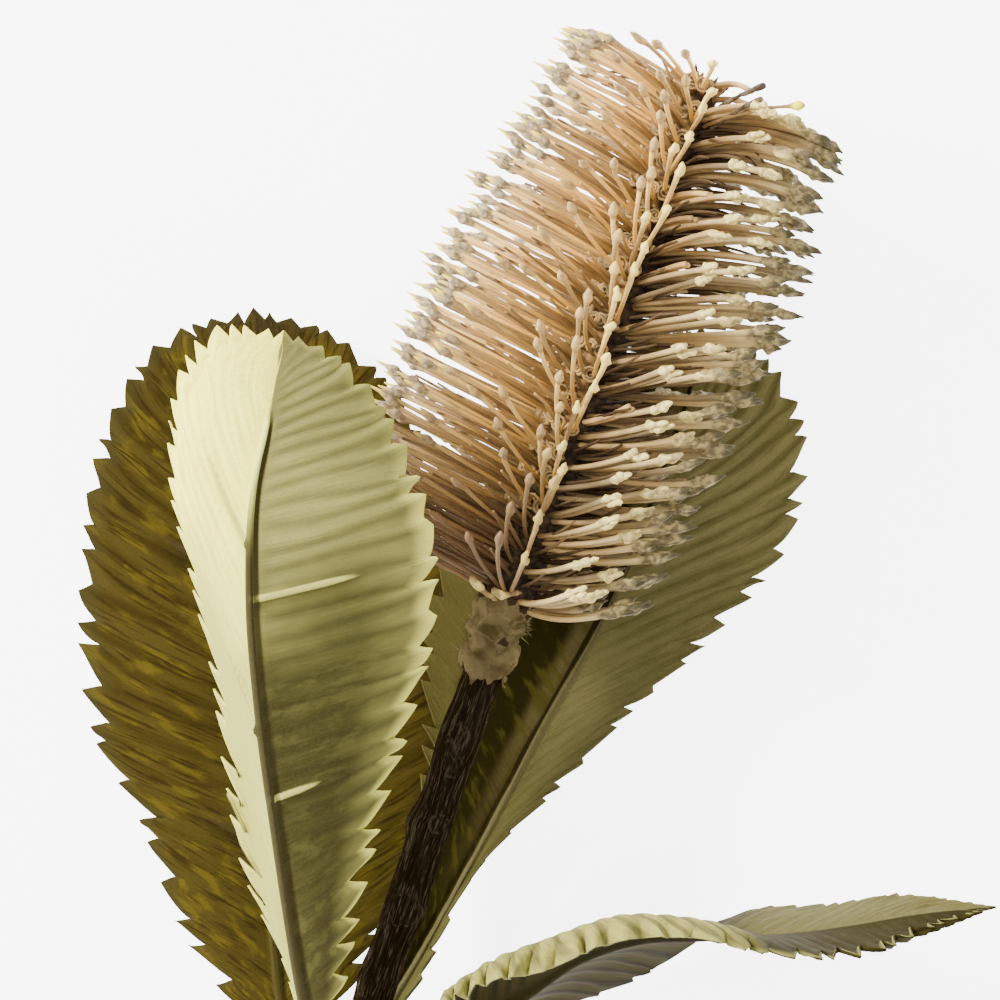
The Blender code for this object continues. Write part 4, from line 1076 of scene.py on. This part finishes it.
def leaf_finish(item, leaf):
    """Painted cloth: a colour for each half, partly print and partly painted light and shade; light ridges
    and dark valleys as painted shade of the pleats; painted shadows beside the rib and under the wires; and
    patches along the veins.
    """
    material, paint = blank(item.name)
    tone = leaf["colours"]
    out, vein = paint.value("out"), paint.value("vein")
    on_right = out.between(-0.02, 0.02)
    patch = paint.mottle(0.55, 4.0, paint.vector(vein, out * 2.4, on_right * 7))
    streak = paint.mottle(0.13, 2.0, paint.vector(vein, out * 0.4, on_right * 7))
    cloud = paint.mottle(0.03, detail=3.0)
    # Painted shade and light of the pleats: valleys darker and ridges lighter, mixed with a random cloud of
    # tone.
    height = (paint.value("wave") * leaf.get("pleat_shade", 0.4) + cloud * 0.8).between(-0.05, 0.95)
    left = height.mix(*tone["left"])
    right = height.mix(*tone["right"])
    reach = paint.maths("ABSOLUTE", out)
    # Towards the foot each half turns to its foot colour; on leaf_front this darkening is painted shade,
    # weaker near the right teeth.
    foot = 1 - (paint.value("row") + cloud * 0.1 - 0.05).between(*leaf["foot_rows"])
    left = (foot * leaf["foot_on"][0]).mix(left, tone["foot_left"])
    right = (foot * (1 - reach.between(0.55, 0.95) * 0.7) * leaf["foot_on"][1]).mix(right, tone["foot"])
    # Painted shade in the fold: a dark band over the right half from the midrib out to about halfway.
    if leaf.get("fold_shade"):
        right = (1 - reach.between(0.42, 0.52)).mix(right, tone["band"])
    if "tip_from" in leaf:
        tip = paint.value("row").between(*leaf["tip_from"])
        left, right = tip.mix(left, tone["tip_left"]), tip.mix(right, tone["tip_right"])
    colour = on_right.mix(left, right)
    if "banded" in leaf:
        band = paint.value("beside")
        band = band.between(1.2, 3.0) * (1 - band.between(4.5, 8.5)) * paint.value("row").between(0.15, 0.45)
        colour = (band * (leaf["banded"] * (0.5 + cloud))).mix(colour, tone["band"])
    patchy_left, patchy_right = leaf["patchy"]
    patch = patch.between(0.5, 0.66) * (on_right * (patchy_right - patchy_left) + patchy_left)
    colour = patch.mix(colour, tone["patch"])
    colour = (streak.between(0.5, 0.68) * leaf["streaky"]).mix(colour, tone["streak"])
    # The rim colour near the edges is partly the cloth's paler edge and partly painted light where edges turn
    # up to the lamp, most on leaf_front's right half and leaf_back_right's left edge.
    rim_left, rim_right = leaf["rimmed"]
    rim = reach.between(leaf["rim_from"], leaf["rim_from"] + 0.14)
    rim = rim * (on_right * (rim_right - rim_left) + rim_left)
    rim = rim * (1 - paint.value("row").between(0.6, 0.8) * leaf.get("rim_fades", 0.0))
    colour = rim.mix(colour, tone["rim"])
    if "wires" in leaf:
        # Painted shadow below the wires, then the pale wires themselves.
        colour = (paint.value("wire_dark") * 0.65).mix(colour, tone["wire_dark"])
        colour = paint.value("wire").between(0.2, 0.6).mix(colour, tone["wire"])
    # Painted shadow beside the rib, weaker at the foot.
    colour = (paint.value("rib_dark").between(0.2, 0.8) * (1 - 0.6 * foot)).mix(colour, tone["rib_dark"])
    # The rib darkens towards its foot; on leaf_front that is painted shade.
    rib = paint.value("row").between(0.66, 0.84).mix(tone["rib_foot"], tone["rib"])
    colour = paint.value("rib").between(0.15, 0.5).mix(colour, rib)
    under = height.mix(tone["under"], tone["foot_left"])
    colour = paint.value("upper").between(0.4, 0.6).mix(under, colour)
    weave = paint.mottle(0.0007, detail=2.0)
    colour = (weave.between(0.35, 0.65) * 0.12).mix(colour, tone["streak"])
    dress(item, material, colour, 0.7 + 0.2 * streak, 0.04, weave * 0.3 + streak * 0.7, 0.25)


for number, (name, leaf) in enumerate(LEAVES.items()):
    blade = leaf_piece(name, leaf, seed=60 + 7 * number)
    leaf_finish(blade, leaf)
    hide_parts(name)

# The stage: a pale seamless floor, a broad soft lamp high on the left, a weaker one overhead and a
# bright even room, so that the shade under the stem is faint.
FLOOR_HALF = 6.0
floor_mesh = bpy.data.meshes.new("floor")
floor_corners = [(x * FLOOR_HALF, y * FLOOR_HALF, 0.0) for x, y in ((-1, -1), (1, -1), (1, 1), (-1, 1))]
floor_mesh.from_pydata(floor_corners, [], [(0, 1, 2, 3)])
floor = bpy.data.objects.new("floor", floor_mesh)
bpy.context.scene.collection.objects.link(floor)
pale, _ = blank("pale floor")
for socket, value in {"Base Color": (0.8, 0.8, 0.8, 1.0), "Roughness": 1.0, "Specular IOR Level": 0.0,
                      "Emission Color": (1.0, 1.0, 1.0, 1.0), "Emission Strength": 5.3}.items():
    pale.node_tree.nodes["Principled BSDF"].inputs[socket].default_value = value
floor_mesh.materials.append(pale)


def lamp(name, place, size, power, aim=(0.0, 0.03, 0.04)):
    """A square area lamp at a place, turned to face the stem."""
    light = bpy.data.lights.new(name, "AREA")
    light.size, light.energy = size, power
    item = bpy.data.objects.new(name, light)
    bpy.context.scene.collection.objects.link(item)
    item.location = place
    away = np.array(place) - aim
    turn = math.atan2(away[1], away[0])
    item.rotation_euler = (0.0, math.atan2(math.hypot(away[0], away[1]), away[2]), turn)


lamp("key", (-1.3, 0.75, 1.05), 0.6, 104)
lamp("overhead", (0.3, 0.0, 2.2), 1.6, 50)
world = bpy.data.worlds.new("room")
world.use_nodes = True
world.node_tree.nodes["Background"].inputs["Color"].default_value = (1.0, 1.0, 1.0, 1.0)
world.node_tree.nodes["Background"].inputs["Strength"].default_value = 0.8
bpy.context.scene.world = world

# The camera looks straight down at the upper part of the stem, as the photographer did.
CAMERA_PLACE = (-0.00775, 0.0862, 1.3)
CAMERA_ANGLE = 2 * math.atan(0.135 / 1.25)
camera_data = bpy.data.cameras.new("camera")
camera_data.sensor_fit = "HORIZONTAL"
camera_data.angle = CAMERA_ANGLE
camera_data.clip_end = 30.0
camera = bpy.data.objects.new("camera", camera_data)
camera.location = CAMERA_PLACE
bpy.context.scene.collection.objects.link(camera)
bpy.context.scene.camera = camera
